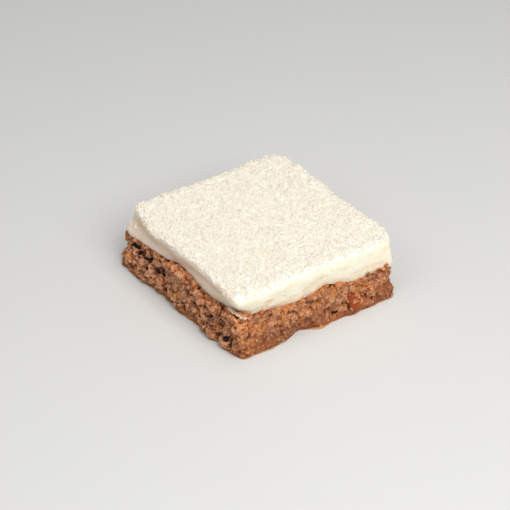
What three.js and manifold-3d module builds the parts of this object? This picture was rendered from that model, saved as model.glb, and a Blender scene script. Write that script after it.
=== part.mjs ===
// Semolina custard cake: one square portion, cut by hand out of a tray bake.
// A moist, coarse nut sponge carries a set layer of semolina custard, and fine shreds of coconut
// cover the custard. Two solids: the sponge below, the custard with its coconut above.
//
// Millimetres, +Z up, resting on the sponge's flat underside at z = 0.
// +X runs from the front corner to the right corner, +Y from the front corner to the left corner.

import * as THREE from 'three';
import { mergeVertices } from 'three/addons/utils/BufferGeometryUtils.js';
import Module from 'manifold-3d';

// ---------------------------------------------------------------------------------------------
// Driving dimensions
// ---------------------------------------------------------------------------------------------

const SPONGE_HEIGHT = 16.0; // underside to custard, at the middle of the cake
const CAKE_HEIGHT = 28.4; // underside to the coconut, at the middle of the cake
const LAYER_GAP = 0.3; // hairline between sponge and custard

// Outlines seen from above: the front, right, back and left corner, and how far each one is rounded.
// On the -X side the custard is undercut, so the sponge shows as a ledge that widens to the front corner.
const SPONGE_FOOT = {
  corners: [[-36.8, -39.2], [37.2, -39.2], [36.2, 40.8], [-43.8, 41.8]], roundings: [5, 5, 5, 5],
};
const SPONGE_TOP = {
  corners: [[-36.4, -35.8], [37.8, -36.0], [34.6, 38.6], [-40.2, 40.2]], roundings: [4, 5, 5, 5],
};
const CUSTARD_FOOT = {
  corners: [[-32.2, -34.8], [37.8, -36.0], [34.6, 38.6], [-40.4, 40.2]], roundings: [3, 5, 5, 5],
};
const CUSTARD_TOP = {
  corners: [[-36.6, -36.4], [37.4, -36.8], [33.6, 37.9], [-38.4, 39.2]], roundings: [4.5, 6.5, 6.5, 6.5],
};

const FLARE_POWER = 1.7; // how quickly the sponge's spread foot draws in to its cut side
const FOOT_TUCK = 0.9; // the very edge of the underside is rounded under
const SHOULDER_RADIUS = 2.8; // round edge between the custard's side and its top
const DOME_RISE = 0.7; // the custard's top is a little higher in the middle

const SIDE_CELLS = 40; // mesh cells along each side, about 1.9 mm each
const SPONGE_ROWS = 9;
const CUSTARD_ROWS = 4; // below the shoulder
const SHOULDER_ROWS = 3;
const RIM_RINGS = [0.955, 0.9, 0.82, 0.68]; // rings on a hidden face, as shares of the way out from its middle

// Crumb of the sponge: clumps with creases between them, and finer grit on top
const CLUMP_SIZE = 5.6;
const CLUMP_RELIEF = 1.5;
const GRIT_SIZE = 2.6;
const GRIT_RELIEF = 0.7;
const SMOOTH_CUT_SHARE = 0.6; // the -Y side met a sharp knife, so its crumb stands out less

// Custard side: gentle waves. Top: bumps of the size of the coconut that lies on it
const WAVE_SIZE = 9;
const WAVE_RELIEF = 0.45;
const COCONUT_BUMP_SIZE = 1.6;
const COCONUT_BUMP_RELIEF = 1.3;

// Coconut shreds that stand out from the fine bed
const SHRED = { length: 3.0, width: 0.95, thickness: 0.8 };
const SHREDS_PER_SIDE = 7; // rows and columns of shreds over the top
const RIM_SHREDS = 4; // along each side's edge

// Where the sponge's top edge rises into the custard or dips under it
const EDGE_WAVES = [
  { at: [-38, 38], reach: 7, rise: -1.0 }, // low at the left corner
  { at: [-37.5, 14], reach: 7, rise: 0.2 },
  { at: [-37, 6], reach: 7, rise: 1.9 }, // hump on the -X side
  { at: [-36.5, -2], reach: 7, rise: 1.9 },
  { at: [-36, -10], reach: 7, rise: -1.3 },
  { at: [-35.5, -18], reach: 7, rise: -0.6 },
  { at: [-28, -35], reach: 7, rise: 0.9 }, // rise beside the front corner
  { at: [-20, -35.5], reach: 7, rise: -0.3 },
  { at: [-12, -35.5], reach: 7, rise: -0.5 },
  { at: [-4, -35.5], reach: 7, rise: -1.6 }, // dip on the -Y side
  { at: [5, -35.7], reach: 3.6, rise: 1.0 }, // small hump on the -Y side
  { at: [18, -35.8], reach: 7, rise: -2.0 },
  { at: [26, -36], reach: 7, rise: -1.9 },
  { at: [34, -36], reach: 7, rise: -0.6 },
  { at: [36, 12], reach: 9, rise: 1.1 },
  { at: [8, 40], reach: 9, rise: -1.2 },
  { at: [-20, 40], reach: 7, rise: 1.0 },
];

// Torn hollows (push < 0) and lumps (push > 0) in the sponge's sides: middle, reach along X, Y and Z
const SPONGE_MARKS = [
  { at: [-41, 35, 12.6], reach: [5, 3.2, 1.8], push: -3.4 }, // crevice from the left corner
  { at: [-41, 27, 13.0], reach: [5, 3.2, 1.6], push: -2.4 },
  { at: [-41, 20, 12.6], reach: [5, 3.0, 1.7], push: -2.8 },
  { at: [-40, 12, 12.0], reach: [5, 3.4, 2.2], push: -3.2 }, // its widest pocket
  { at: [-41, 26, 7.6], reach: [5, 4.6, 2.8], push: 1.6 }, // nut lump below the crevice
  { at: [-41, 40, 12.8], reach: [4, 3, 2.6], push: 2.6 }, // shard at the left corner
  { at: [-42, 41, 7.4], reach: [4, 3.4, 1.8], push: -1.2 },
  { at: [-43, 41, 4.0], reach: [5, 4, 2], push: 1.5 }, // knob below it
  { at: [-41, 10, 1.0], reach: [5, 5, 2.8], push: -1.8 },
  { at: [-38.5, -18.5, 2], reach: [5, 5, 2.8], push: 1.3 },
  { at: [-38, 4, 16.4], reach: [5, 4.4, 2.4], push: 1.2 },
  { at: [-39, 3, 3.6], reach: [5, 4, 2.6], push: 1.0 },
  { at: [-38, -14, 15.4], reach: [5, 2.6, 1.5], push: -1.8 },
  { at: [-38, -21, 16.0], reach: [5, 4, 2], push: 0.8 },
  { at: [-37, -29, 14.6], reach: [5, 3.4, 1.3], push: -2.2 }, // crack near the front corner
  { at: [-37, -27, 9.6], reach: [5, 1.6, 4], push: -1.8 },
  { at: [-37, -31.6, 5.4], reach: [5, 2.2, 1.8], push: -2.4 }, // hole near the front corner
  { at: [-38, -8, 8.5], reach: [5, 3.5, 3], push: 0.8 },
  { at: [-8.4, -38, 0.6], reach: [6.2, 5, 3.2], push: -3.2 }, // notch in the foot of the -Y side
  { at: [-3, -36, 13.5], reach: [6, 5, 3.4], push: 1.0 },
  { at: [8.8, -37, 2.8], reach: [2, 5, 1.7], push: -1.7 },
  { at: [17, -37, 5.0], reach: [3.2, 5, 4.0], push: 1.5 }, // lump of candied fruit
  { at: [28, -38, 3.0], reach: [7, 5, 3.5], push: 0.9 },
  { at: [37, -36, 6.4], reach: [6, 6, 2.4], push: -1.5 }, // waist of the right corner
  { at: [37, -36, 12.0], reach: [5, 5, 2.6], push: 0.8 },
  { at: [37, 8, 11], reach: [5, 4, 2.2], push: -2.4 },
  { at: [37, 24, 6], reach: [5, 5, 3], push: 1.2 },
  { at: [36, -12, 5], reach: [5, 3, 2], push: -1.8 },
  { at: [12, 40, 12], reach: [4, 5, 2], push: -2.4 },
  { at: [-10, 41, 6], reach: [5, 5, 3], push: 1.2 },
  { at: [-28, 40, 12.6], reach: [4, 5, 1.8], push: -2.2 },
];

// The same for the custard's sides
const CUSTARD_MARKS = [
  { at: [-39, 36, 16.5], reach: [5, 8, 4], push: 1.6 }, // slumped over the left corner
  { at: [-38, 21, 25.5], reach: [5, 7, 3.4], push: 2.2 }, // overhanging lip
  { at: [-37, 6, 24.5], reach: [5, 9, 3], push: 0.7 },
  { at: [-36, -12, 22.5], reach: [5, 16, 2.6], push: -0.9 }, // hollow below the lip
  { at: [-37, -31, 25.5], reach: [4, 5, 3], push: 0.9 },
  { at: [33, 2, 26], reach: [5, 9, 4], push: -0.8 },
  { at: [35, -28, 25], reach: [5, 6, 5], push: 0.6 },
  { at: [6, 38, 24], reach: [14, 5, 3], push: -0.7 },
];

const COLOURS = { sponge: 0x9a6a4a, custard: 0xf6eddc };

// ---------------------------------------------------------------------------------------------
// Seeded noise
// ---------------------------------------------------------------------------------------------

// A repeatable number from 0 to 1 for a grid point and a seed
function hash(x, y, z, seed) {
  let mixed = Math.imul(x, 374761393) ^ Math.imul(y, 668265263) ^ Math.imul(z, 2147483647);
  mixed = Math.imul(mixed ^ (mixed >>> 13) ^ Math.imul(seed, 974634777), 1274126177);
  mixed = Math.imul(mixed ^ (mixed >>> 16), 2246822519);
  return ((mixed ^ (mixed >>> 15)) >>> 0) / 4294967296;
}

// A repeatable stream of numbers from 0 to 1
function randomStream(seed) {
  let step = 0;
  return () => {
    step += 1;
    return hash(step, step * 7, step * 31, seed);
  };
}

// Smooth noise from -1 to 1, with hills about one size apart
function softNoise(point, size, seed) {
  const at = point.clone().divideScalar(size);
  const cell = at.clone().floor();
  const share = at.sub(cell);
  const ease = (value) => value * value * (3 - 2 * value);
  const [ex, ey, ez] = [ease(share.x), ease(share.y), ease(share.z)];
  let sum = 0;
  for (const dx of [0, 1]) {
    for (const dy of [0, 1]) {
      for (const dz of [0, 1]) {
        const weight = (dx ? ex : 1 - ex) * (dy ? ey : 1 - ey) * (dz ? ez : 1 - ez);
        sum += weight * hash(cell.x + dx, cell.y + dy, cell.z + dz, seed);
      }
    }
  }
  return sum * 2 - 1;
}

// Rounded clumps packed side by side: 1 at a clump's middle, about -1 in the creases
function clumpNoise(point, size, seed) {
  const at = point.clone().divideScalar(size);
  const cell = at.clone().floor();
  const middle = new THREE.Vector3();
  let nearest = Infinity;
  for (let dx = -1; dx <= 1; dx += 1) {
    for (let dy = -1; dy <= 1; dy += 1) {
      for (let dz = -1; dz <= 1; dz += 1) {
        const [x, y, z] = [cell.x + dx, cell.y + dy, cell.z + dz];
        middle.set(x + hash(x, y, z, seed), y + hash(x, y, z, seed + 1), z + hash(x, y, z, seed + 2));
        nearest = Math.min(nearest, middle.distanceTo(at));
      }
    }
  }
  return 1 - 2 * Math.min(nearest, 1) ** 2 / 0.7;
}

// ---------------------------------------------------------------------------------------------
// Outlines and marks
// ---------------------------------------------------------------------------------------------

const cornerOf = (outline, index) => new THREE.Vector2(...outline.corners[(index + 4) % 4]);

// The point at a share, from 0 to 1, of the way round an outline
function outlinePoint(outline, share) {
  const along = ((share % 1) + 1) % 1 * 4;
  const near = Math.round(along);
  const corner = cornerOf(outline, near);
  const toNext = cornerOf(outline, near + 1).sub(corner);
  const toLast = cornerOf(outline, near - 1).sub(corner);
  const past = along - near; // sides past this corner, from -0.5 to 0.5
  const side = past > 0 ? toNext : toLast;
  const distance = Math.abs(past) * side.length();
  const reach = outline.roundings[near % 4];
  if (distance >= reach) {
    return corner.add(side.setLength(distance));
  }
  const start = corner.clone().add(toLast.setLength(reach));
  const end = corner.clone().add(toNext.setLength(reach));
  const bend = (Math.sign(past) * distance / reach + 1) / 2;
  return start.multiplyScalar((1 - bend) ** 2)
    .add(corner.multiplyScalar(2 * bend * (1 - bend)))
    .add(end.multiplyScalar(bend ** 2));
}

// The way out from an outline at that share, level and one unit long
function outwardAt(outline, share) {
  const step = 0.004;
  const along = outlinePoint(outline, share + step).sub(outlinePoint(outline, share - step));
  return new THREE.Vector3(along.y, -along.x, 0).normalize();
}

// How far hollows and lumps move the surface outwards at a point
function marksAt(marks, point) {
  let push = 0;
  for (const mark of marks) {
    const [dx, dy, dz] = mark.at.map((middle, axis) => (point.getComponent(axis) - middle) / mark.reach[axis]);
    push += mark.push * Math.exp(-(dx * dx + dy * dy + dz * dz));
  }
  return push;
}

// Height of the sponge's top: level inside, with waves along its edge
function layerHeight(x, y) {
  let height = SPONGE_HEIGHT;
  for (const wave of EDGE_WAVES) {
    const distance = Math.hypot(x - wave.at[0], y - wave.at[1]);
    height += wave.rise * Math.exp(-((distance / wave.reach) ** 2));
  }
  return height;
}

// ---------------------------------------------------------------------------------------------
// Closed meshes from loops of points
// ---------------------------------------------------------------------------------------------

const LOOP_CELLS = 4 * SIDE_CELLS;

// Collects points and triangles
class SurfaceBuilder {
  constructor() {
    this.positions = [];
    this.triangles = [];
  }

  addPoint(point) {
    this.positions.push(point.x, point.y, point.z);
    return this.positions.length / 3 - 1;
  }

  addQuad(a, b, c, d) {
    this.triangles.push(a, b, c, a, c, d);
  }

  // A loop of points round the cake, from a function of the share of the way round
  addLoop(pointAt) {
    const loop = [];
    for (let index = 0; index < LOOP_CELLS; index += 1) {
      loop.push(this.addPoint(pointAt(index / LOOP_CELLS)));
    }
    return loop;
  }

  // A band of quads from a lower loop to an upper one, facing out
  addBand(lower, upper) {
    for (let index = 0; index < lower.length; index += 1) {
      const next = (index + 1) % lower.length;
      this.addQuad(lower[index], lower[next], upper[next], upper[index]);
    }
  }

  // A hidden face made of rings that close on one middle point; facing is 1 for up, -1 for down
  addRingedFace(rim, heightAt, facing) {
    const middle = this.middleOf(rim);
    let outer = rim;
    for (const share of RIM_RINGS) {
      const inner = rim.map((index) => {
        const point = this.pointOf(index).lerp(middle, 1 - share);
        point.z = heightAt(point.x, point.y);
        return this.addPoint(point);
      });
      this.addFacingBand(outer, inner, facing);
      outer = inner;
    }
    middle.z = heightAt(middle.x, middle.y);
    const hub = this.addPoint(middle);
    this.addFacingBand(outer, outer.map(() => hub), facing);
  }

  addFacingBand(outer, inner, facing) {
    for (let index = 0; index < outer.length; index += 1) {
      const next = (index + 1) % outer.length;
      const corners = [outer[index], outer[next], inner[next], inner[index]];
      const turned = facing > 0 ? corners : corners.reverse();
      this.addPolygon(turned.filter((corner, place) => turned.indexOf(corner) === place));
    }
  }

  addPolygon(corners) {
    for (let index = 2; index < corners.length; index += 1) {
      this.triangles.push(corners[0], corners[index - 1], corners[index]);
    }
  }

  // A top face as a square grid that fills the rim loop, with its height from a function
  addGriddedTop(rim, heightAt) {
    const half = SIDE_CELLS / 2;
    const grid = [];
    for (let row = 0; row <= SIDE_CELLS; row += 1) {
      const line = [];
      for (let column = 0; column <= SIDE_CELLS; column += 1) {
        const edge = rimIndex(column, row);
        line.push(edge === null ? this.addPoint(this.gridPoint(rim, column, row, heightAt)) : rim[edge]);
      }
      grid.push(line);
    }
    for (let row = 0; row < SIDE_CELLS; row += 1) {
      for (let column = 0; column < SIDE_CELLS; column += 1) {
        const corners = [grid[row][column], grid[row][column + 1]];
        corners.push(grid[row + 1][column + 1], grid[row + 1][column]);
        if ((row < half) !== (column < half)) {
          corners.push(corners.shift()); // splits the cell along its other diagonal
        }
        this.addQuad(...corners);
      }
    }
  }

  // A point inside the rim, blended from the four sides that it faces
  gridPoint(rim, column, row, heightAt) {
    const [across, up] = [column / SIDE_CELLS, row / SIDE_CELLS];
    const rimPoint = (c, r) => this.pointOf(rim[rimIndex(c, r)]);
    const point = rimPoint(column, 0).multiplyScalar(1 - up)
      .addScaledVector(rimPoint(column, SIDE_CELLS), up)
      .addScaledVector(rimPoint(0, row), 1 - across)
      .addScaledVector(rimPoint(SIDE_CELLS, row), across)
      .addScaledVector(rimPoint(0, 0), -(1 - across) * (1 - up))
      .addScaledVector(rimPoint(SIDE_CELLS, 0), -across * (1 - up))
      .addScaledVector(rimPoint(SIDE_CELLS, SIDE_CELLS), -across * up)
      .addScaledVector(rimPoint(0, SIDE_CELLS), -(1 - across) * up);
    point.z = heightAt(point.x, point.y);
    return point;
  }

  pointOf(index) {
    return new THREE.Vector3().fromArray(this.positions, index * 3);
  }

  middleOf(loop) {
    const sum = new THREE.Vector3();
    for (const index of loop) {
      sum.add(this.pointOf(index));
    }
    return sum.divideScalar(loop.length);
  }

  toGeometry() {
    const geometry = new THREE.BufferGeometry();
    geometry.setAttribute('position', new THREE.Float32BufferAttribute(this.positions, 3));
    geometry.setIndex(this.triangles);
    return geometry;
  }
}

// Where a grid point falls on the rim loop, which starts at column 0, row 0, or null inside the grid
function rimIndex(column, row) {
  if (row === 0) {
    return column;
  }
  if (column === SIDE_CELLS) {
    return SIDE_CELLS + row;
  }
  if (row === SIDE_CELLS) {
    return 3 * SIDE_CELLS - column;
  }
  return column === 0 ? LOOP_CELLS - row : null;
}

// ---------------------------------------------------------------------------------------------
// Sponge
// ---------------------------------------------------------------------------------------------

// A point on the sponge's side: share goes round it, rise from 0 at the underside to 1 at the top
function spongeSidePoint(share, rise) {
  const foot = outlinePoint(SPONGE_FOOT, share);
  const top = outlinePoint(SPONGE_TOP, share);
  const spread = (1 - rise) ** FLARE_POWER;
  const place = top.clone().lerp(foot, spread);
  const height = layerHeight(top.x, top.y) * rise;
  const outward = outwardAt(SPONGE_TOP, share);
  const point = new THREE.Vector3(place.x, place.y, height);
  const cutBySharpKnife = THREE.MathUtils.smoothstep(-outward.y, 0.5, 0.9);
  const roughness = 1 - cutBySharpKnife * (1 - SMOOTH_CUT_SHARE);
  const crumb = clumpNoise(point, CLUMP_SIZE, 11) * CLUMP_RELIEF / 2
    + softNoise(point, GRIT_SIZE, 23) * GRIT_RELIEF;
  const tuck = rise === 0 ? FOOT_TUCK : 0;
  const push = crumb * roughness + marksAt(SPONGE_MARKS, point) - tuck;
  point.addScaledVector(outward, push);
  if (rise === 1) {
    point.z = layerHeight(point.x, point.y);
  }
  return point;
}

function makeSponge() {
  const surface = new SurfaceBuilder();
  let below = null;
  for (let row = 0; row <= SPONGE_ROWS; row += 1) {
    const loop = surface.addLoop((share) => spongeSidePoint(share, row / SPONGE_ROWS));
    if (row === 0) {
      surface.addRingedFace(loop, () => 0, -1);
    } else {
      surface.addBand(below, loop);
    }
    below = loop;
  }
  surface.addRingedFace(below, layerHeight, 1);
  return surface.toGeometry();
}

// ---------------------------------------------------------------------------------------------
// Custard and its coconut
// ---------------------------------------------------------------------------------------------

// Height of the custard's top before its coconut bumps
function domeHeight(x, y) {
  const distance = Math.hypot(x, y) / 50;
  return CAKE_HEIGHT + DOME_RISE * (0.3 - distance * distance);
}

// A point on the custard's side below the shoulder, with rise from 0 at its foot to 1
function custardSidePoint(share, rise) {
  const foot = outlinePoint(CUSTARD_FOOT, share);
  const top = outlinePoint(CUSTARD_TOP, share);
  const ease = THREE.MathUtils.smoothstep(rise, 0, 1);
  const place = foot.clone().lerp(top, ease);
  const low = layerHeight(foot.x, foot.y) + LAYER_GAP;
  const high = domeHeight(top.x, top.y) - SHOULDER_RADIUS;
  const point = new THREE.Vector3(place.x, place.y, THREE.MathUtils.lerp(low, high, rise));
  const settled = rise === 0 ? 0 : 1; // the foot's edge follows the sponge's
  const wave = softNoise(point, WAVE_SIZE, 37) * WAVE_RELIEF * settled;
  const push = wave + marksAt(CUSTARD_MARKS, point) * settled;
  return point.addScaledVector(outwardAt(CUSTARD_TOP, share), push);
}

// A point on the round shoulder, with turn from 0 at the side to 1 at the top
function shoulderPoint(share, turn) {
  const base = custardSidePoint(share, 1);
  const outward = outwardAt(CUSTARD_TOP, share);
  const angle = turn * Math.PI / 2;
  const inset = SHOULDER_RADIUS * (1 - Math.cos(angle));
  const point = base.addScaledVector(outward, -inset);
  point.z += SHOULDER_RADIUS * Math.sin(angle);
  return point.addScaledVector(outward, coconutBump(point) * turn);
}

// The uneven bed of coconut, as a height above the custard
function coconutBump(point) {
  return softNoise(point, COCONUT_BUMP_SIZE, 41) * COCONUT_BUMP_RELIEF / 2;
}

// Height of the bed of coconut on the custard's top
function bedHeight(x, y) {
  const height = domeHeight(x, y);
  return height + coconutBump(new THREE.Vector3(x, y, height));
}

function makeCustardBody() {
  const surface = new SurfaceBuilder();
  const foot = surface.addLoop((share) => custardSidePoint(share, 0));
  surface.addRingedFace(foot, (x, y) => layerHeight(x, y) + LAYER_GAP, -1);
  let below = foot;
  for (let row = 1; row <= CUSTARD_ROWS; row += 1) {
    const loop = surface.addLoop((share) => custardSidePoint(share, row / CUSTARD_ROWS));
    surface.addBand(below, loop);
    below = loop;
  }
  for (let row = 1; row <= SHOULDER_ROWS; row += 1) {
    const loop = surface.addLoop((share) => shoulderPoint(share, row / SHOULDER_ROWS));
    surface.addBand(below, loop);
    below = loop;
  }
  surface.addGriddedTop(below, bedHeight);
  return surface.toGeometry();
}

// One shred: a small faceted sliver, longer than wide, laid and turned in place
function makeShred(place, turn, tilt, scale) {
  const sliver = new THREE.IcosahedronGeometry(0.5, 0);
  sliver.scale(SHRED.length * scale, SHRED.width * scale, SHRED.thickness * scale);
  sliver.rotateY(tilt);
  sliver.rotateZ(turn);
  sliver.translate(place.x, place.y, place.z);
  return sliver;
}

// Shreds spread evenly over the top, with a few more along its edges
function makeShreds() {
  const random = randomStream(5);
  const shreds = [];
  const spacing = 2 / SHREDS_PER_SIDE;
  for (let row = 0; row < SHREDS_PER_SIDE; row += 1) {
    for (let column = 0; column < SHREDS_PER_SIDE; column += 1) {
      const across = -1 + spacing * (column + 0.2 + 0.6 * random());
      const up = -1 + spacing * (row + 0.2 + 0.6 * random());
      const x = across * 32;
      const y = up * 33 + 1;
      const place = new THREE.Vector3(x, y, bedHeight(x, y));
      shreds.push(makeShred(place, random() * Math.PI, (random() - 0.5) * 0.5, 0.75 + 0.5 * random()));
    }
  }
  for (let side = 0; side < 4; side += 1) {
    for (let index = 0; index < RIM_SHREDS; index += 1) {
      const share = (side + (index + 0.3 + 0.5 * random()) / RIM_SHREDS) / 4;
      const place = shoulderPoint(share, 0.45 + 0.3 * random());
      shreds.push(makeShred(place, random() * Math.PI, (random() - 0.5) * 0.8, 0.75 + 0.45 * random()));
    }
  }
  return shreds;
}

// ---------------------------------------------------------------------------------------------
// Solids joined into one
// ---------------------------------------------------------------------------------------------

const wasm = await Module();
wasm.setup();

function toSolid(geometry) {
  const bare = geometry.clone();
  bare.deleteAttribute('normal');
  bare.deleteAttribute('uv');
  const merged = mergeVertices(bare);
  return new wasm.Manifold(new wasm.Mesh({
    numProp: 3,
    vertProperties: new Float32Array(merged.attributes.position.array),
    triVerts: new Uint32Array(merged.index.array),
  }));
}

function toGeometry(solid) {
  const { vertProperties, triVerts } = solid.getMesh();
  const geometry = new THREE.BufferGeometry();
  geometry.setAttribute('position', new THREE.Float32BufferAttribute(vertProperties, 3));
  geometry.setIndex(Array.from(triVerts));
  return geometry;
}

// The main body on its own, with any loose scrap dropped and any sealed hollow filled
function largestBody(solid) {
  const bodies = solid.decompose();
  return bodies.reduce((largest, body) => (body.volume() > largest.volume() ? body : largest));
}

function makeCustard() {
  let solid = toSolid(makeCustardBody());
  for (const shred of makeShreds()) {
    solid = solid.add(toSolid(shred));
  }
  return toGeometry(largestBody(solid));
}

// ---------------------------------------------------------------------------------------------
// The cake
// ---------------------------------------------------------------------------------------------

function makeMesh(name, geometry, colour, roughness) {
  const material = new THREE.MeshStandardMaterial({ color: colour, roughness, metalness: 0 });
  geometry.computeVertexNormals();
  const mesh = new THREE.Mesh(geometry, material);
  mesh.name = name;
  return mesh;
}

const cake = new THREE.Group();
cake.add(makeMesh('sponge_base', makeSponge(), COLOURS.sponge, 0.85));
cake.add(makeMesh('custard_layer', makeCustard(), COLOURS.custard, 0.6));

// Centre the cake over the origin
const centre = new THREE.Box3().setFromObject(cake).getCenter(new THREE.Vector3());
cake.position.set(-centre.x, -centre.y, 0);

export default cake;
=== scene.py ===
"""Looks of the semolina custard cake: one square portion, cut by hand out of a tray bake.

A moist, coarse nut sponge carries a set layer of semolina custard under a bed of fine coconut. The
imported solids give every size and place. A copy of the sponge gets its crumb, a copy of the custard
its smooth skin, and the coconut, nuts, crumbs and syrup are laid on those copies.

Lengths in the dataclasses are millimetres. +Z is up, +X runs from the front corner to the right
corner, and +Y from the front corner to the left corner.
"""

import logging
import math
import random
from collections.abc import Iterable, Mapping, Sequence
from dataclasses import dataclass
from enum import Enum

import bpy
import numpy as np
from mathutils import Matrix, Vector, kdtree, noise

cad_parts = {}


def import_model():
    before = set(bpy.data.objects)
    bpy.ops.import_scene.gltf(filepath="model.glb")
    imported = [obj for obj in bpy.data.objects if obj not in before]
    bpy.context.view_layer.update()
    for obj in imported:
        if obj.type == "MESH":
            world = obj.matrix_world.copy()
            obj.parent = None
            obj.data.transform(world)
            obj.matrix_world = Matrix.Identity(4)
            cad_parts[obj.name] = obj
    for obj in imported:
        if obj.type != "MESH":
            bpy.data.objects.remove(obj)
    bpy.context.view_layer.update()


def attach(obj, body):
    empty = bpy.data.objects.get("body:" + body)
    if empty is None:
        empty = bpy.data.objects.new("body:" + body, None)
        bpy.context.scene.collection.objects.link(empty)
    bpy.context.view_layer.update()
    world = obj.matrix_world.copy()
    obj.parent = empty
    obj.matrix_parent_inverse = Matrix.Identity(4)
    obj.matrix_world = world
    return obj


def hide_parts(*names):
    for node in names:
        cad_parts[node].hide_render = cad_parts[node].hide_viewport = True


MM = 0.001  # metres in a millimetre
BODY = "root"
NOISE_STEP = (31.7, 11.3, 7.9)  # moves soft noise on by one pattern
CELL_STEP = (13.1, 29.9, 3.7)  # moves cells on by one pattern
ROUNDNESS = 3.4  # how fast a lump of the crumb falls off towards the next one
FLAT = 0.01  # millimetres; what lies lower is on the flat underside
MESH_NOISE_STEP = (17.3, 5.1, 9.7)  # moves the noise worked out on the mesh on by one pattern

log = logging.getLogger("cake")

Colour = tuple[float, float, float, float]
Feed = float | int | bool | str | Sequence[float] | bpy.types.NodeSocket | bpy.types.ID


class Slot(Enum):
    """The record's material slots."""

    SPONGE = "sponge"
    CUSTARD = "custard"


class Solid(Enum):
    """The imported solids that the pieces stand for."""

    SPONGE = "sponge_base"
    CUSTARD = "custard_layer"


class Mark(Enum):
    """Names of the values that the meshes carry for each point."""

    WALL = "wall"
    RISE = "rise"
    CREST = "crest"
    ROUGH = "rough"
    HOLLOW = "hollow"
    RELIEF = "relief"
    BED = "bed"
    STAIN = "stain"
    CREASE = "crease"
    PAINTED_SHADE_LEFT = "soaked"
    EDGE = "edge"
    TINT = "tint"
    CRUST = "crust"
    DIP = "dip"
    TORN = "torn"
    LUMP = "lump"
    WARM = "warm"
    TUCK = "tuck"
    HEM = "hem"
    DRAPE = "drape"


def srgb(red: int, green: int, blue: int) -> Colour:
    """Turns a screen colour into a linear one.

    Args:
        red: Red, 0 to 255.
        green: Green, 0 to 255.
        blue: Blue, 0 to 255.

    Returns:
        The linear colour with full opacity.
    """
    def linear(value: int) -> float:
        """One channel, by the sRGB curve."""
        share = value / 255
        return share / 12.92 if share <= 0.04045 else ((share + 0.055) / 1.055) ** 2.4

    return (linear(red), linear(green), linear(blue), 1.0)


def smoothstep(low: float, high: float, value: np.ndarray) -> np.ndarray:
    """Rises smoothly from 0 at low to 1 at high."""
    share = np.clip((value - low) / (high - low), 0.0, 1.0)
    return share * share * (3.0 - 2.0 * share)


# ---------------------------------------------------------------------------------------------
# Mesh work
# ---------------------------------------------------------------------------------------------


def deselect_all() -> None:
    """Leaves nothing selected."""
    bpy.ops.object.select_all(action="DESELECT")


def take(piece: bpy.types.Object) -> bpy.types.Object:
    """Makes one object the only selected and active one."""
    deselect_all()
    piece.select_set(True)
    bpy.context.view_layer.objects.active = piece
    return piece


def apply_modifiers(piece: bpy.types.Object) -> None:
    """Applies all of a piece's modifiers, from the first to the last."""
    take(piece)
    for name in [modifier.name for modifier in piece.modifiers]:
        bpy.ops.object.modifier_apply(modifier=name)


def points_of(piece: bpy.types.Object) -> np.ndarray:
    """The mesh's points in millimetres, one row each."""
    flat = np.empty(len(piece.data.vertices) * 3, np.float32)
    piece.data.vertices.foreach_get("co", flat)
    return flat.reshape(-1, 3).astype(float) / MM


def normals_of(piece: bpy.types.Object) -> np.ndarray:
    """The mesh's smooth normals, one row for each point."""
    flat = np.empty(len(piece.data.vertices) * 3, np.float32)
    piece.data.vertex_normals.foreach_get("vector", flat)
    return flat.reshape(-1, 3).astype(float)


def store(piece: bpy.types.Object, mark: Mark, values: np.ndarray) -> None:
    """Keeps one number for each point of a mesh.

    Args:
        piece: The mesh object.
        mark: The name to keep them under.
        values: One number for each point.
    """
    mesh = piece.data
    attribute = mesh.attributes.get(mark.value) or mesh.attributes.new(mark.value, "FLOAT", "POINT")
    attribute.data.foreach_set("value", np.ascontiguousarray(values, np.float32))


def noise_at(points: np.ndarray, size: float, seed: int) -> np.ndarray:
    """Soft noise for each point.

    Args:
        points: Places in millimetres, one row each.
        size: Distance between its hills, in millimetres.
        seed: Picks the pattern.

    Returns:
        Values from about -1 to 1.
    """
    shift = Vector(tuple(seed * step for step in MESH_NOISE_STEP))
    return np.array([noise.noise(Vector(point) / size + shift) for point in points])


def bells_at(points: np.ndarray, bells: Iterable["Bell"], widen: float = 1.0) -> np.ndarray:
    """Adds up round-topped marks at each point.

    Args:
        points: Places in millimetres, one row each.
        bells: The marks.
        widen: Share of their reach to use.

    Returns:
        Their sum at each point.
    """
    total = np.zeros(len(points))
    for bell in bells:
        away = (points - np.array(bell.at)) / (np.array(bell.reach) * widen)
        total += bell.strength * np.exp(-np.sum(away * away, axis=1))
    return total


@dataclass(frozen=True)
class Bell:
    """A round-topped mark on the surface, strongest in its middle."""

    at: tuple[float, float, float]
    reach: tuple[float, float, float]
    strength: float = 1.0


def copy_of(solid: Solid, name: str) -> bpy.types.Object:
    """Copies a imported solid's mesh into a new object, with its loose triangles merged.

    Args:
        solid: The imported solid.
        name: The new object's name.

    Returns:
        The new object, at the origin and on no body yet.
    """
    source = bpy.data.objects[solid.value]
    piece = bpy.data.objects.new(name, source.data.copy())
    piece.data.name = name
    piece.data.materials.clear()
    bpy.context.scene.collection.objects.link(piece)
    take(piece)
    bpy.ops.object.mode_set(mode="EDIT")
    bpy.ops.mesh.select_all(action="SELECT")
    bpy.ops.mesh.remove_doubles(threshold=0.01 * MM)
    bpy.ops.object.mode_set(mode="OBJECT")
    return piece


def settle(piece: bpy.types.Object, material: bpy.types.Material,
           stands_for: Solid | None = None) -> bpy.types.Object:
    """Finishes a piece: its material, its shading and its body.

    Args:
        piece: The finished mesh.
        material: Its material.
        stands_for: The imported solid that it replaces, if any.

    Returns:
        The same piece.
    """
    piece.data.materials.clear()
    piece.data.materials.append(material)
    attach(piece, BODY)
    if stands_for is not None:
        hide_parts(stands_for.value)
    triangles = sum(len(polygon.vertices) - 2 for polygon in piece.data.polygons)
    log.info("%s: %d triangles", piece.name, triangles)
    return piece


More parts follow.
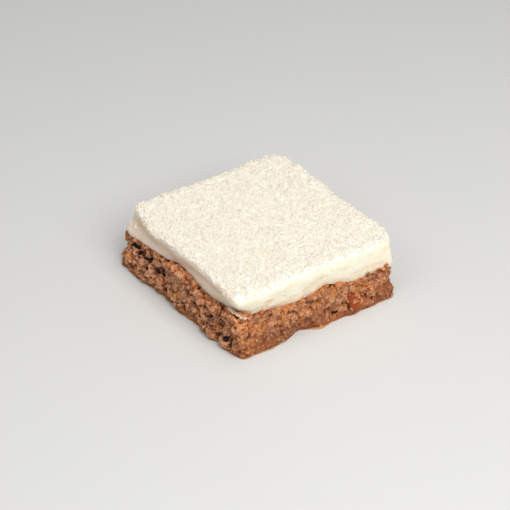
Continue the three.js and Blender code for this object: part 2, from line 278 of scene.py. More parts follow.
# ---------------------------------------------------------------------------------------------
# Node work
# ---------------------------------------------------------------------------------------------


class Board:
    """One node tree, with short ways to place its nodes and join them."""

    def __init__(self, tree: bpy.types.NodeTree) -> None:
        """Works on the given tree."""
        self.tree = tree

    def feed(self, socket: bpy.types.NodeSocket, value: Feed) -> None:
        """Joins a socket to another one, or sets its own value."""
        if isinstance(value, bpy.types.NodeSocket):
            self.tree.links.new(value, socket)
        else:
            socket.default_value = value

    def add(self, kind: str, settings: Mapping[str, object] | None = None, **feeds: Feed) -> bpy.types.Node:
        """Places a node.

        Args:
            kind: The node's type.
            settings: The node's own properties.
            **feeds: A socket or a value for each input, by its name with _ for a space.

        Returns:
            The new node.
        """
        node = self.tree.nodes.new(kind)
        for name, value in (settings or {}).items():
            setattr(node, name, value)
        for name, value in feeds.items():
            self.feed(node.inputs[name.replace("_", " ")], value)
        return node

    def math(self, operation: str, first: Feed, second: Feed | None = None) -> bpy.types.NodeSocket:
        """One step of arithmetic on one or two numbers."""
        node = self.add("ShaderNodeMath", {"operation": operation})
        self.feed(node.inputs[0], first)
        if second is not None:
            self.feed(node.inputs[1], second)
        return node.outputs[0]

    def total(self, *terms: Feed) -> bpy.types.NodeSocket:
        """The sum of several numbers."""
        running = terms[0]
        for term in terms[1:]:
            running = self.math("ADD", running, term)
        return running

    def vector(self, operation: str, first: Feed, second: Feed | None = None,
               scale: Feed | None = None) -> bpy.types.NodeSocket:
        """One step of arithmetic on vectors."""
        node = self.add("ShaderNodeVectorMath", {"operation": operation})
        self.feed(node.inputs[0], first)
        if second is not None:
            self.feed(node.inputs[1], second)
        if scale is not None:
            self.feed(node.inputs["Scale"], scale)
        return node.outputs["Value" if operation == "LENGTH" else "Vector"]

    def ramp(self, value: Feed, low: Feed, high: Feed, start: Feed = 0.0,
             end: Feed = 1.0) -> bpy.types.NodeSocket:
        """A smooth change from start at low to end at high."""
        settings = {"interpolation_type": "SMOOTHSTEP"}
        node = self.add("ShaderNodeMapRange", settings, Value=value, From_Min=low, From_Max=high,
                        To_Min=start, To_Max=end)
        return node.outputs["Result"]

    def mix(self, share: Feed, first: Feed, second: Feed, blend: str = "MIX") -> bpy.types.NodeSocket:
        """A mix of two colours."""
        node = self.add("ShaderNodeMix", {"data_type": "RGBA", "blend_type": blend})
        for place, value in ((0, share), (6, first), (7, second)):
            self.feed(node.inputs[place], value)
        return node.outputs[2]

    def noise(self, place: Feed, size: float, detail: float = 2.0, seed: float = 0.0) -> bpy.types.Node:
        """Soft noise with hills about size millimetres apart, on a place in millimetres."""
        moved = self.vector("ADD", place, tuple(seed * step for step in NOISE_STEP))
        return self.add("ShaderNodeTexNoise", Vector=moved, Scale=1.0 / size, Detail=detail, Roughness=0.55)

    def cells(self, place: Feed, size: float, feature: str = "F1", seed: float = 0.0) -> bpy.types.Node:
        """Voronoi cells about size millimetres across, on a place in millimetres."""
        moved = self.vector("ADD", place, tuple(seed * step for step in CELL_STEP))
        return self.add("ShaderNodeTexVoronoi", {"feature": feature}, Vector=moved, Scale=1.0 / size)

    def part(self, vector: Feed, axis: str) -> bpy.types.NodeSocket:
        """One part, X, Y or Z, of a vector."""
        return self.add("ShaderNodeSeparateXYZ", Vector=vector).outputs[axis]


class ShapeBoard(Board):
    """The board of a Geometry Nodes tree that is run once on a piece."""

    def __init__(self, name: str) -> None:
        """Starts a tree with one shape in and one shape out."""
        tree = bpy.data.node_groups.new(name, "GeometryNodeTree")
        tree.is_modifier = True
        tree.interface.new_socket(name="Geometry", in_out="INPUT", socket_type="NodeSocketGeometry")
        tree.interface.new_socket(name="Geometry", in_out="OUTPUT", socket_type="NodeSocketGeometry")
        super().__init__(tree)
        self.shape = tree.nodes.new("NodeGroupInput").outputs["Geometry"]

    def place(self) -> bpy.types.NodeSocket:
        """Each point's place, in millimetres."""
        here = self.add("GeometryNodeInputPosition").outputs["Position"]
        return self.vector("SCALE", here, scale=1.0 / MM)

    def mark(self, mark: Mark) -> bpy.types.NodeSocket:
        """A number that the mesh carries for each point."""
        settings = {"data_type": "FLOAT"}
        return self.add("GeometryNodeInputNamedAttribute", settings, Name=mark.value).outputs["Attribute"]

    def chance(self, low: float, high: float, seed: int) -> bpy.types.NodeSocket:
        """A random number for each point."""
        node = self.add("FunctionNodeRandomValue", {"data_type": "FLOAT"}, Seed=seed)
        self.feed(node.inputs[2], low)
        self.feed(node.inputs[3], high)
        return node.outputs[1]

    def keep(self, mark: Mark, value: Feed, domain: str = "POINT") -> None:
        """Writes a number for each point or instance."""
        node = self.add("GeometryNodeStoreNamedAttribute", {"data_type": "FLOAT", "domain": domain},
                        Geometry=self.shape, Name=mark.value, Value=value)
        self.shape = node.outputs["Geometry"]

    def shift(self, offset: Feed) -> None:
        """Moves each point by a vector in millimetres."""
        in_metres = self.vector("SCALE", offset, scale=MM)
        node = self.add("GeometryNodeSetPosition", Geometry=self.shape, Offset=in_metres)
        self.shape = node.outputs["Geometry"]

    def pull(self, mark: Mark, offset: tuple[float, float, float]) -> None:
        """Moves the points under a mark by a vector in millimetres."""
        self.shift(self.vector("SCALE", offset, scale=self.mark(mark)))

    def keep_above_ground(self) -> None:
        """Stops any point from sinking below the surface that the cake rests on."""
        here = self.add("GeometryNodeInputPosition").outputs["Position"]
        lifted = self.vector("MAXIMUM", here, (-1.0, -1.0, 0.0))
        node = self.add("GeometryNodeSetPosition", Geometry=self.shape, Position=lifted)
        self.shape = node.outputs["Geometry"]

    def run_on(self, piece: bpy.types.Object) -> None:
        """Runs the tree on a piece and keeps the result as its mesh."""
        out = self.tree.nodes.new("NodeGroupOutput")
        self.tree.links.new(self.shape, out.inputs["Geometry"])
        modifier = piece.modifiers.new(self.tree.name, "NODES")
        modifier.node_group = self.tree
        apply_modifiers(piece)
        bpy.data.node_groups.remove(self.tree)


class FinishBoard(Board):
    """The board of a material with one Principled BSDF."""

    def __init__(self, name: str, **feeds: Feed) -> None:
        """Starts a material.

        Args:
            name: The material's name.
            **feeds: Values of the shader's own sockets, by name with _ for a space.
        """
        self.material = bpy.data.materials.new(name)
        self.material.use_nodes = True
        super().__init__(self.material.node_tree)
        self.tree.nodes.clear()
        self.shader = self.add("ShaderNodeBsdfPrincipled", **feeds)
        out = self.tree.nodes.new("ShaderNodeOutputMaterial")
        self.tree.links.new(self.shader.outputs["BSDF"], out.inputs["Surface"])
        here = self.add("ShaderNodeTexCoord").outputs["Object"]
        self.place = self.vector("SCALE", here, scale=1.0 / MM)

    def dress(self, socket: str, value: Feed) -> None:
        """Feeds one of the shader's sockets."""
        self.feed(self.shader.inputs[socket], value)

    def mark(self, mark: Mark) -> bpy.types.NodeSocket:
        """A number that the mesh carries."""
        node = self.add("ShaderNodeAttribute", {"attribute_name": mark.value, "attribute_type": "GEOMETRY"})
        return node.outputs["Fac"]

    def group(self, tree: bpy.types.NodeTree, output: str, **feeds: Feed) -> bpy.types.NodeSocket:
        """Places a shared node group.

        Args:
            tree: The group.
            output: The output to give back.
            **feeds: Its inputs, by name with _ for a space.

        Returns:
            That output.
        """
        return self.add("ShaderNodeGroup", {"node_tree": tree}, **feeds).outputs[output]

    def bump(self, height: Feed, distance: float, strength: float = 1.0) -> None:
        """Gives the surface fine relief; the distance is in millimetres."""
        node = self.add("ShaderNodeBump", Height=height, Distance=distance * MM, Strength=strength)
        self.dress("Normal", node.outputs["Normal"])


def shader_group(name: str, numbers: Mapping[str, float], colours: Mapping[str, Colour],
                 outputs: Mapping[str, str]) -> tuple[Board, bpy.types.Node, bpy.types.Node]:
    """Starts a shader node group.

    Args:
        name: The group's name.
        numbers: Number inputs and their usual values.
        colours: Colour inputs and their usual values.
        outputs: Outputs and their socket types.

    Returns:
        The board, the group's input node and its output node.
    """
    tree = bpy.data.node_groups.new(name, "ShaderNodeTree")
    for label, value in numbers.items():
        socket = tree.interface.new_socket(name=label, in_out="INPUT", socket_type="NodeSocketFloat")
        socket.default_value = value
    for label, value in colours.items():
        socket = tree.interface.new_socket(name=label, in_out="INPUT", socket_type="NodeSocketColor")
        socket.default_value = value
    for label, kind in outputs.items():
        tree.interface.new_socket(name=label, in_out="OUTPUT", socket_type=kind)
    board = Board(tree)
    return board, tree.nodes.new("NodeGroupInput"), tree.nodes.new("NodeGroupOutput")


class SharedEffects:
    """The node groups that more than one material uses."""

    def __init__(self) -> None:
        """Builds each group once."""
        self.mottle = self._mottle()
        self.grit = self._grit()

    @staticmethod
    def _scaled_place(board: Board, size: bpy.types.NodeSocket) -> bpy.types.NodeSocket:
        """The place on the object, counted in steps of a size in millimetres."""
        here = board.add("ShaderNodeTexCoord").outputs["Object"]
        steps = board.math("DIVIDE", 1.0 / MM, size)
        return board.vector("SCALE", here, scale=steps)

    def _mottle(self) -> bpy.types.NodeTree:
        """Uneven colour: a dark, a middle and a light tone in soft patches of one size."""
        board, inputs, outputs = shader_group(
            "mottle", {"Size": 4.0, "Contrast": 1.0},
            {"Dark": srgb(90, 60, 40), "Middle": srgb(150, 100, 70), "Light": srgb(200, 150, 110)},
            {"Colour": "NodeSocketColor"})
        place = self._scaled_place(board, inputs.outputs["Size"])
        patches = board.add("ShaderNodeTexNoise", Vector=place, Scale=1.0, Detail=3.0, Roughness=0.6)
        swing = board.math("MULTIPLY", board.math("SUBTRACT", patches.outputs["Fac"], 0.5),
                           inputs.outputs["Contrast"])
        darker = board.mix(board.ramp(swing, -0.02, -0.2), inputs.outputs["Middle"], inputs.outputs["Dark"])
        lighter = board.mix(board.ramp(swing, 0.02, 0.2), darker, inputs.outputs["Light"])
        board.feed(outputs.inputs["Colour"], lighter)
        return board.tree

    def _grit(self) -> bpy.types.NodeTree:
        """Fine relief: soft hills with small grains on them."""
        board, inputs, outputs = shader_group("grit", {"Size": 0.6, "Grain": 0.5}, {},
                                              {"Height": "NodeSocketFloat"})
        place = self._scaled_place(board, inputs.outputs["Size"])
        hills = board.add("ShaderNodeTexNoise", Vector=place, Scale=1.0, Detail=2.0, Roughness=0.5)
        grains = board.add("ShaderNodeTexVoronoi", Vector=place, Scale=2.0)
        raised = board.math("MULTIPLY", grains.outputs["Distance"], inputs.outputs["Grain"])
        board.feed(outputs.inputs["Height"], board.math("SUBTRACT", hills.outputs["Fac"], raised))
        return board.tree


# ---------------------------------------------------------------------------------------------
# Finishes
# ---------------------------------------------------------------------------------------------


@dataclass(frozen=True)
class SpongeFinish:
    """Moist nut sponge: brown crumb, rosy drier lumps, orange spots, amber foot, with painted shade in its
    creases and hollows and painted highlights on its tips.
    """

    crumb: Colour = srgb(163, 95, 51)
    dry: Colour = srgb(180, 115, 73)
    # rosy crumb tone, also used as painted highlight on the proud tips
    rosy: Colour = srgb(224, 163, 122)
    golden: Colour = srgb(210, 136, 60)
    dusky: Colour = srgb(156, 105, 80)
    # dark crumb tone, also used as painted shade in the creases
    dark_tone_and_shade: Colour = srgb(96, 42, 12)
    amber: Colour = srgb(132, 66, 18)
    toasted: Colour = srgb(200, 116, 54)
    # painted shade: near-black laid into the torn hollows
    hollow: Colour = srgb(34, 9, 2)
    fleck: Colour = srgb(226, 192, 162)
    roughness: float = 0.5
    crumb_tones: tuple[tuple[float, float, float, int], ...] = (
        (3.0, 0.55, 0.5, 1), (1.1, 0.5, 0.4, 2))  # size, share lightened, share darkened, pattern
    hue_size: float = 3.6  # size of the golden and the dusky patches
    fleck_spacing: float = 1.3

    def build(self, effects: SharedEffects) -> bpy.types.Material:
        """Makes the material.

        Args:
            effects: The shared node groups.

        Returns:
            The material.
        """
        board = FinishBoard("moist_nut_sponge", Roughness=self.roughness, Specular_IOR_Level=0.5,
                            Subsurface_Weight=0.05, Subsurface_Scale=1.0 * MM)
        board.dress("Subsurface Radius", (1.0, 0.45, 0.25))
        colour = board.group(effects.mottle, "Colour", Size=7.0, Contrast=1.5, Dark=self.toasted,
                             Middle=self.crumb, Light=self.dry)
        colour = self._add_crumbs(board, colour)
        colour = self._add_zones(board, colour)
        colour = self._add_depth(board, colour)
        board.dress("Base Color", colour)
        wet = board.noise(board.place, 2.4, seed=4).outputs["Fac"]
        board.dress("Roughness", board.ramp(wet, 0.4, 0.65, self.roughness + 0.16, self.roughness - 0.2))
        board.bump(board.group(effects.grit, "Height", Size=0.6, Grain=0.6), 0.22, 0.9)
        return board.material

    def _add_crumbs(self, board: FinishBoard, colour: bpy.types.NodeSocket) -> bpy.types.NodeSocket:
        """Adds crumb-sized patches of lighter and darker tone, at two sizes.

        Args:
            board: The material's board.
            colour: The colour so far.

        Returns:
            The colour with its crumbs.
        """
        drift = board.vector("SCALE", board.noise(board.place, 1.2, 3.0).outputs["Color"], scale=2.4)
        wandering = board.vector("ADD", board.place, drift)
        for size, light_share, dark_share, seed in self.crumb_tones:
            pick = board.part(board.cells(wandering, size, seed=seed).outputs["Color"], "X")
            colour = board.mix(board.ramp(pick, 0.62, 0.92, 0.0, light_share), colour, self.rosy)
            colour = board.mix(board.ramp(pick, 0.36, 0.04, 0.0, dark_share), colour, self.dark_tone_and_shade)
        hue = board.part(board.cells(wandering, self.hue_size, seed=5).outputs["Color"], "Y")
        colour = board.mix(board.ramp(hue, 0.74, 0.94, 0.0, 0.6), colour, self.golden)
        return board.mix(board.ramp(hue, 0.3, 0.06, 0.0, 0.55), colour, self.dusky)

    def _add_zones(self, board: FinishBoard, colour: bpy.types.NodeSocket) -> bpy.types.NodeSocket:
        """Adds the amber foot, the toasted upper edge, the rosy lumps and the orange spots.

        Args:
            board: The material's board.
            colour: The colour so far.

        Returns:
            The colour with its zones.
        """
        stray = board.noise(board.place, 3.0, 3.0, 6).outputs["Fac"]
        uneven = board.math("ADD", board.mark(Mark.RISE), board.ramp(stray, 0.3, 0.7, -0.14, 0.14))
        colour = board.mix(board.ramp(board.mark(Mark.LUMP), 0.25, 0.9, 0.0, 0.6), colour, self.rosy)
        colour = board.mix(board.ramp(uneven, 0.34, 0.0, 0.0, 0.85), colour, self.amber)
        colour = board.mix(board.ramp(uneven, 0.76, 1.0, 0.0, 0.5), colour, self.toasted)
        spot = board.math("MULTIPLY", board.mark(Mark.WARM), board.ramp(stray, 0.3, 0.55, 0.5, 0.95))
        return board.mix(spot, colour, self.toasted)

    def _add_depth(self, board: FinishBoard, colour: bpy.types.NodeSocket) -> bpy.types.NodeSocket:
        """Paints shade into the creases and hollows, paints highlights on the proud tips and strews pale
        flecks.

        Args:
            board: The material's board.
            colour: The colour so far.

        Returns:
            The finished colour.
        """
        fleck = board.cells(board.place, self.fleck_spacing, seed=9)
        chosen = board.ramp(board.part(fleck.outputs["Color"], "Z"), 0.9, 0.93)
        dot = board.ramp(fleck.outputs["Distance"], 0.3, 0.18)
        colour = board.mix(board.math("MULTIPLY", chosen, dot), colour, self.fleck)
        dip = board.mark(Mark.DIP)
        # Painted highlight: the proud tips are lightened.
        colour = board.mix(board.ramp(dip, -0.12, -0.7, 0.0, 0.7), colour, self.rosy)
        # Painted shade: the creases, found from the mesh's cavities, are darkened.
        colour = board.mix(board.ramp(dip, 0.1, 0.85, 0.0, 0.82), colour, self.dark_tone_and_shade)
        # Painted shade: the torn hollows turn near-black.
        return board.mix(board.ramp(board.mark(Mark.TORN), 0.1, 0.75, 0.0, 0.97), colour, self.hollow)


@dataclass(frozen=True)
class PieceFinish:
    """Small pieces in or on the cake, each piece a little lighter or darker than the next."""

    name: str
    dark: Colour
    light: Colour
    roughness: float
    subsurface: float
    grain: float = 0.4  # size of the fine relief
    bump: float = 0.08  # its height
    shade: Colour = srgb(214, 208, 200)  # darkens the patches of each piece
    clear: Colour = srgb(248, 247, 244)  # leaves the rest nearly as it is

    def build(self, effects: SharedEffects) -> bpy.types.Material:
        """Makes the material.

        Args:
            effects: The shared node groups.

        Returns:
            The material.
        """
        board = FinishBoard(self.name, Specular_IOR_Level=0.35, Subsurface_Weight=self.subsurface,
                            Subsurface_Scale=1.0 * MM, Roughness=self.roughness)
        board.dress("Subsurface Radius", (1.0, 0.8, 0.6))
        toned = board.mix(board.mark(Mark.TINT), self.dark, self.light)
        uneven = board.group(effects.mottle, "Colour", Size=self.grain * 3.0, Contrast=1.0,
                             Dark=self.shade, Middle=self.clear, Light=srgb(255, 255, 255))
        board.dress("Base Color", board.mix(1.0, toned, uneven, "MULTIPLY"))
        board.bump(board.group(effects.grit, "Height", Size=self.grain, Grain=0.5), self.bump)
        return board.material


@dataclass(frozen=True)
class CustardFinish:
    """Set semolina custard: cream-white, dense, faintly see-through, with painted warm shade on its -X side
    and a painted shadow under its coconut lip.
    """

    cream: Colour = srgb(252, 242, 219)
    warm: Colour = srgb(249, 232, 198)
    milk: Colour = srgb(254, 248, 232)
    bed: Colour = srgb(254, 249, 236)
    # painted warm shade on the -X side, below the coconut lip and across from the brown sponge
    soaked: Colour = srgb(238, 216, 198)
    stain: Colour = srgb(226, 178, 130)
    # painted shadow in the crease below the coconut lip
    crease: Colour = srgb(204, 178, 138)
    roughness: float = 0.42

    def build(self, effects: SharedEffects) -> bpy.types.Material:
        """Makes the material.

        Args:
            effects: The shared node groups.

        Returns:
            The material.
        """
        board = FinishBoard("set_custard", Roughness=self.roughness, Specular_IOR_Level=0.4,
                            Subsurface_Weight=0.5, Subsurface_Scale=2.0 * MM)
        board.dress("Subsurface Radius", (1.0, 0.82, 0.55))
        colour = board.group(effects.mottle, "Colour", Size=6.0, Contrast=0.9, Dark=self.warm,
                             Middle=self.cream, Light=self.milk)
        stray = board.noise(board.place, 1.6, detail=3.0).outputs["Fac"]
        # The -X side's tone and the crease's tone are painted shade; the stains and the bed are the custard's
        # own colours.
        layers = ((Mark.PAINTED_SHADE_LEFT, self.soaked, board.ramp(stray, 0.2, 0.6, 0.75, 1.0)),
                  (Mark.CREASE, self.crease, board.ramp(stray, 0.25, 0.6, 0.6, 1.0)),
                  (Mark.STAIN, self.stain, board.ramp(stray, 0.35, 0.62)),
                  (Mark.BED, self.bed, 1.0))
        for mark, tone, unevenness in layers:
            colour = board.mix(board.math("MULTIPLY", board.mark(mark), unevenness), colour, tone)
        board.dress("Base Color", colour)
        board.bump(board.group(effects.grit, "Height", Size=1.3, Grain=0.25), 0.1, 0.7)
        return board.material


@dataclass(frozen=True)
class SyrupFinish:
    """Thin amber syrup that has run out at the foot."""

    amber: Colour = srgb(216, 156, 100)
    deep: Colour = srgb(180, 110, 58)

    def build(self, effects: SharedEffects) -> bpy.types.Material:
        """Makes the material.

        Args:
            effects: The shared node groups.

        Returns:
            The material.
        """
        board = FinishBoard("amber_syrup", Roughness=0.12, IOR=1.42)
        board.dress("Base Color", board.group(effects.mottle, "Colour", Size=5.0, Contrast=1.0,
                                              Dark=self.deep, Middle=self.amber, Light=self.amber))
        thin = board.noise(board.place, 4.0, seed=3).outputs["Fac"]
        board.dress("Alpha", board.ramp(thin, 0.35, 0.65, 0.35, 0.7))
        return board.material


# ---------------------------------------------------------------------------------------------
# Small shapes that are modelled once and copied
# ---------------------------------------------------------------------------------------------


@dataclass(frozen=True)
class Sliver:
    """A thin curved shaving, fatter in its middle and tapered at both ends."""

    length: float
    width: float
    thickness: float
    bend: float
    sides: int = 4
    stations: tuple[tuple[float, float], ...] = ((-0.5, 0.35), (-0.05, 1.0), (0.5, 0.3))

    def build(self, name: str) -> bpy.types.Object:
        """Models the shaving along X, from a small face drawn out step by step.

        Args:
            name: The object's name.

        Returns:
            The object, centred on the origin.
        """
        deselect_all()
        start, girth = self.stations[0]
        bpy.ops.mesh.primitive_circle_add(vertices=self.sides, radius=0.5 * MM, fill_type="NGON",
                                          location=(0, 0, 0), rotation=(0, math.pi / 2, 0))
        piece = take(bpy.context.object)
        piece.name = name
        bpy.ops.object.transform_apply(location=True, rotation=True, scale=True)
        bpy.ops.object.mode_set(mode="EDIT")
        bpy.ops.mesh.select_all(action="SELECT")
        bpy.ops.transform.resize(value=(1, self.width * girth, self.thickness * girth))
        bpy.ops.transform.translate(value=(start * self.length * MM, 0, self._lift(start)))
        for (before, old_girth), (after, new_girth) in zip(self.stations, self.stations[1:]):
            step = ((after - before) * self.length * MM, 0, self._lift(after) - self._lift(before))
            bpy.ops.mesh.extrude_region_move(TRANSFORM_OT_translate={"value": step})
            grow = new_girth / old_girth
            bpy.ops.transform.resize(value=(1, grow, grow))
        bpy.ops.mesh.select_all(action="SELECT")
        bpy.ops.mesh.normals_make_consistent(inside=False)
        bpy.ops.mesh.quads_convert_to_tris()
        bpy.ops.object.mode_set(mode="OBJECT")
        bpy.ops.object.shade_smooth()
        return piece

    def _lift(self, along: float) -> float:
        """Height of the bow at a share along the shaving, in metres."""
        return self.bend * self.length * MM * (0.25 - along * along)


@dataclass(frozen=True)
class Chunk:
    """A small uneven lump, such as a crumb or a piece of nut."""

    size: tuple[float, float, float]
    unevenness: float = 0.22
    fineness: int = 1
    seed: int = 0

    def build(self, name: str) -> bpy.types.Object:
        """Models the lump from a faceted ball.

        Args:
            name: The object's name.

        Returns:
            The object, centred on the origin.
        """
        deselect_all()
        bpy.ops.mesh.primitive_ico_sphere_add(subdivisions=self.fineness, radius=0.5 * MM)
        piece = take(bpy.context.object)
        piece.name = name
        bpy.ops.object.mode_set(mode="EDIT")
        bpy.ops.mesh.select_all(action="SELECT")
        bpy.ops.transform.vertex_random(offset=self.unevenness * MM, seed=self.seed)
        bpy.ops.transform.resize(value=self.size)
        bpy.ops.object.mode_set(mode="OBJECT")
        return piece


@dataclass(frozen=True)
class Cluster:
    """Soft lumps in named places that have grown together where they touch."""

    name: str
    balls: tuple[Bell, ...]
    voxel: float
    relief: float
    grain: float  # size of the relief's hills

    def build(self) -> bpy.types.Object:
        """Models the lumps, joins them and roughens their skin.

        Returns:
            The object.
        """
        parts = [self._ball(ball) for ball in self.balls]
        deselect_all()
        for part in parts:
            part.select_set(True)
        bpy.context.view_layer.objects.active = parts[0]
        if len(parts) > 1:
            bpy.ops.object.join()
        piece = take(parts[0])
        piece.name = self.name
        piece.data.name = self.name
        remesh = piece.modifiers.new("grown_together", "REMESH")
        remesh.mode = "VOXEL"
        remesh.voxel_size = self.voxel * MM
        smooth = piece.modifiers.new("soft_skin", "SMOOTH")
        smooth.iterations = 2
        apply_modifiers(piece)
        board = ShapeBoard("skin_of_" + self.name)
        swing = board.math("SUBTRACT", board.noise(board.place(), self.grain, 2.0, 5).outputs["Fac"], 0.5)
        normal = board.add("GeometryNodeInputNormal").outputs["Normal"]
        board.shift(board.vector("SCALE", normal, scale=board.math("MULTIPLY", swing, 4.0 * self.relief)))
        board.keep_above_ground()
        board.run_on(piece)
        take(piece)
        bpy.ops.object.shade_smooth()
        return piece

    @staticmethod
    def _ball(ball: Bell) -> bpy.types.Object:
        """Models one squeezed ball at its place."""
        deselect_all()
        bpy.ops.mesh.primitive_ico_sphere_add(subdivisions=3, radius=MM, location=(0, 0, 0))
        part = take(bpy.context.object)
        bpy.ops.object.mode_set(mode="EDIT")
        bpy.ops.mesh.select_all(action="SELECT")
        bpy.ops.transform.resize(value=ball.reach)
        bpy.ops.transform.translate(value=tuple(value * MM for value in ball.at))
        bpy.ops.object.mode_set(mode="OBJECT")
        return part


@dataclass(frozen=True)
class Scatter:
    """Copies of a few small shapes, laid over a carrier's surface as one joined mesh."""

    name: str
    spacing: float  # least distance between two copies
    density: float  # most copies on a square millimetre
    mark: Mark  # where on the carrier they lie
    lift: float
    scale: tuple[float, float]
    tilt: float  # radians out of the surface, at most
    seed: int

    def build(self, carrier: bpy.types.Object, shapes: Sequence[bpy.types.Object]) -> bpy.types.Object:
        """Lays the copies.

        Args:
            carrier: The piece whose surface they lie on.
            shapes: The shapes to copy; they are removed afterwards.

        Returns:
            The joined mesh, with a random tint for each copy.
        """
        stock = bpy.data.collections.new(self.name + "_stock")
        bpy.context.scene.collection.children.link(stock)
        for shape in shapes:
            stock.objects.link(shape)
        piece = bpy.data.objects.new(self.name, carrier.data.copy())
        piece.data.name = self.name
        bpy.context.scene.collection.objects.link(piece)
        board = ShapeBoard("lay_" + self.name)
        spread = board.add("GeometryNodeDistributePointsOnFaces", {"distribute_method": "POISSON"},
                           Mesh=board.shape, Distance_Min=self.spacing * MM,
                           Density_Max=self.density / MM ** 2, Density_Factor=board.mark(self.mark),
                           Seed=self.seed)
        board.shape = spread.outputs["Points"]
        board.shift(board.vector("SCALE", spread.outputs["Normal"], scale=self.lift))
        source = board.add("GeometryNodeCollectionInfo", Collection=stock, Separate_Children=True,
                           Reset_Children=True).outputs["Instances"]
        lean = board.add("ShaderNodeCombineXYZ", X=board.chance(-self.tilt, self.tilt, self.seed + 1),
                         Y=board.chance(-self.tilt, self.tilt, self.seed + 2),
                         Z=board.chance(0.0, 2 * math.pi, self.seed + 3)).outputs["Vector"]
        turn = board.add("FunctionNodeEulerToRotation", Euler=lean).outputs["Rotation"]
        facing = board.add("FunctionNodeRotateRotation", {"rotation_space": "LOCAL"},
                           Rotation=spread.outputs["Rotation"], Rotate_By=turn).outputs["Rotation"]
        placed = board.add("GeometryNodeInstanceOnPoints", Points=board.shape, Instance=source,
                           Pick_Instance=True, Rotation=facing)
        board.feed(placed.inputs["Scale"], board.chance(*self.scale, self.seed + 4))
        board.shape = placed.outputs["Instances"]
        board.keep(Mark.TINT, board.chance(0.0, 1.0, self.seed + 5), domain="INSTANCE")
        board.shape = board.add("GeometryNodeRealizeInstances", Geometry=board.shape).outputs["Geometry"]
        board.keep_above_ground()
        board.run_on(piece)
        for shape in shapes:
            bpy.data.objects.remove(shape)
        bpy.data.collections.remove(stock)
        return piece


# ---------------------------------------------------------------------------------------------
# Sponge
# ---------------------------------------------------------------------------------------------


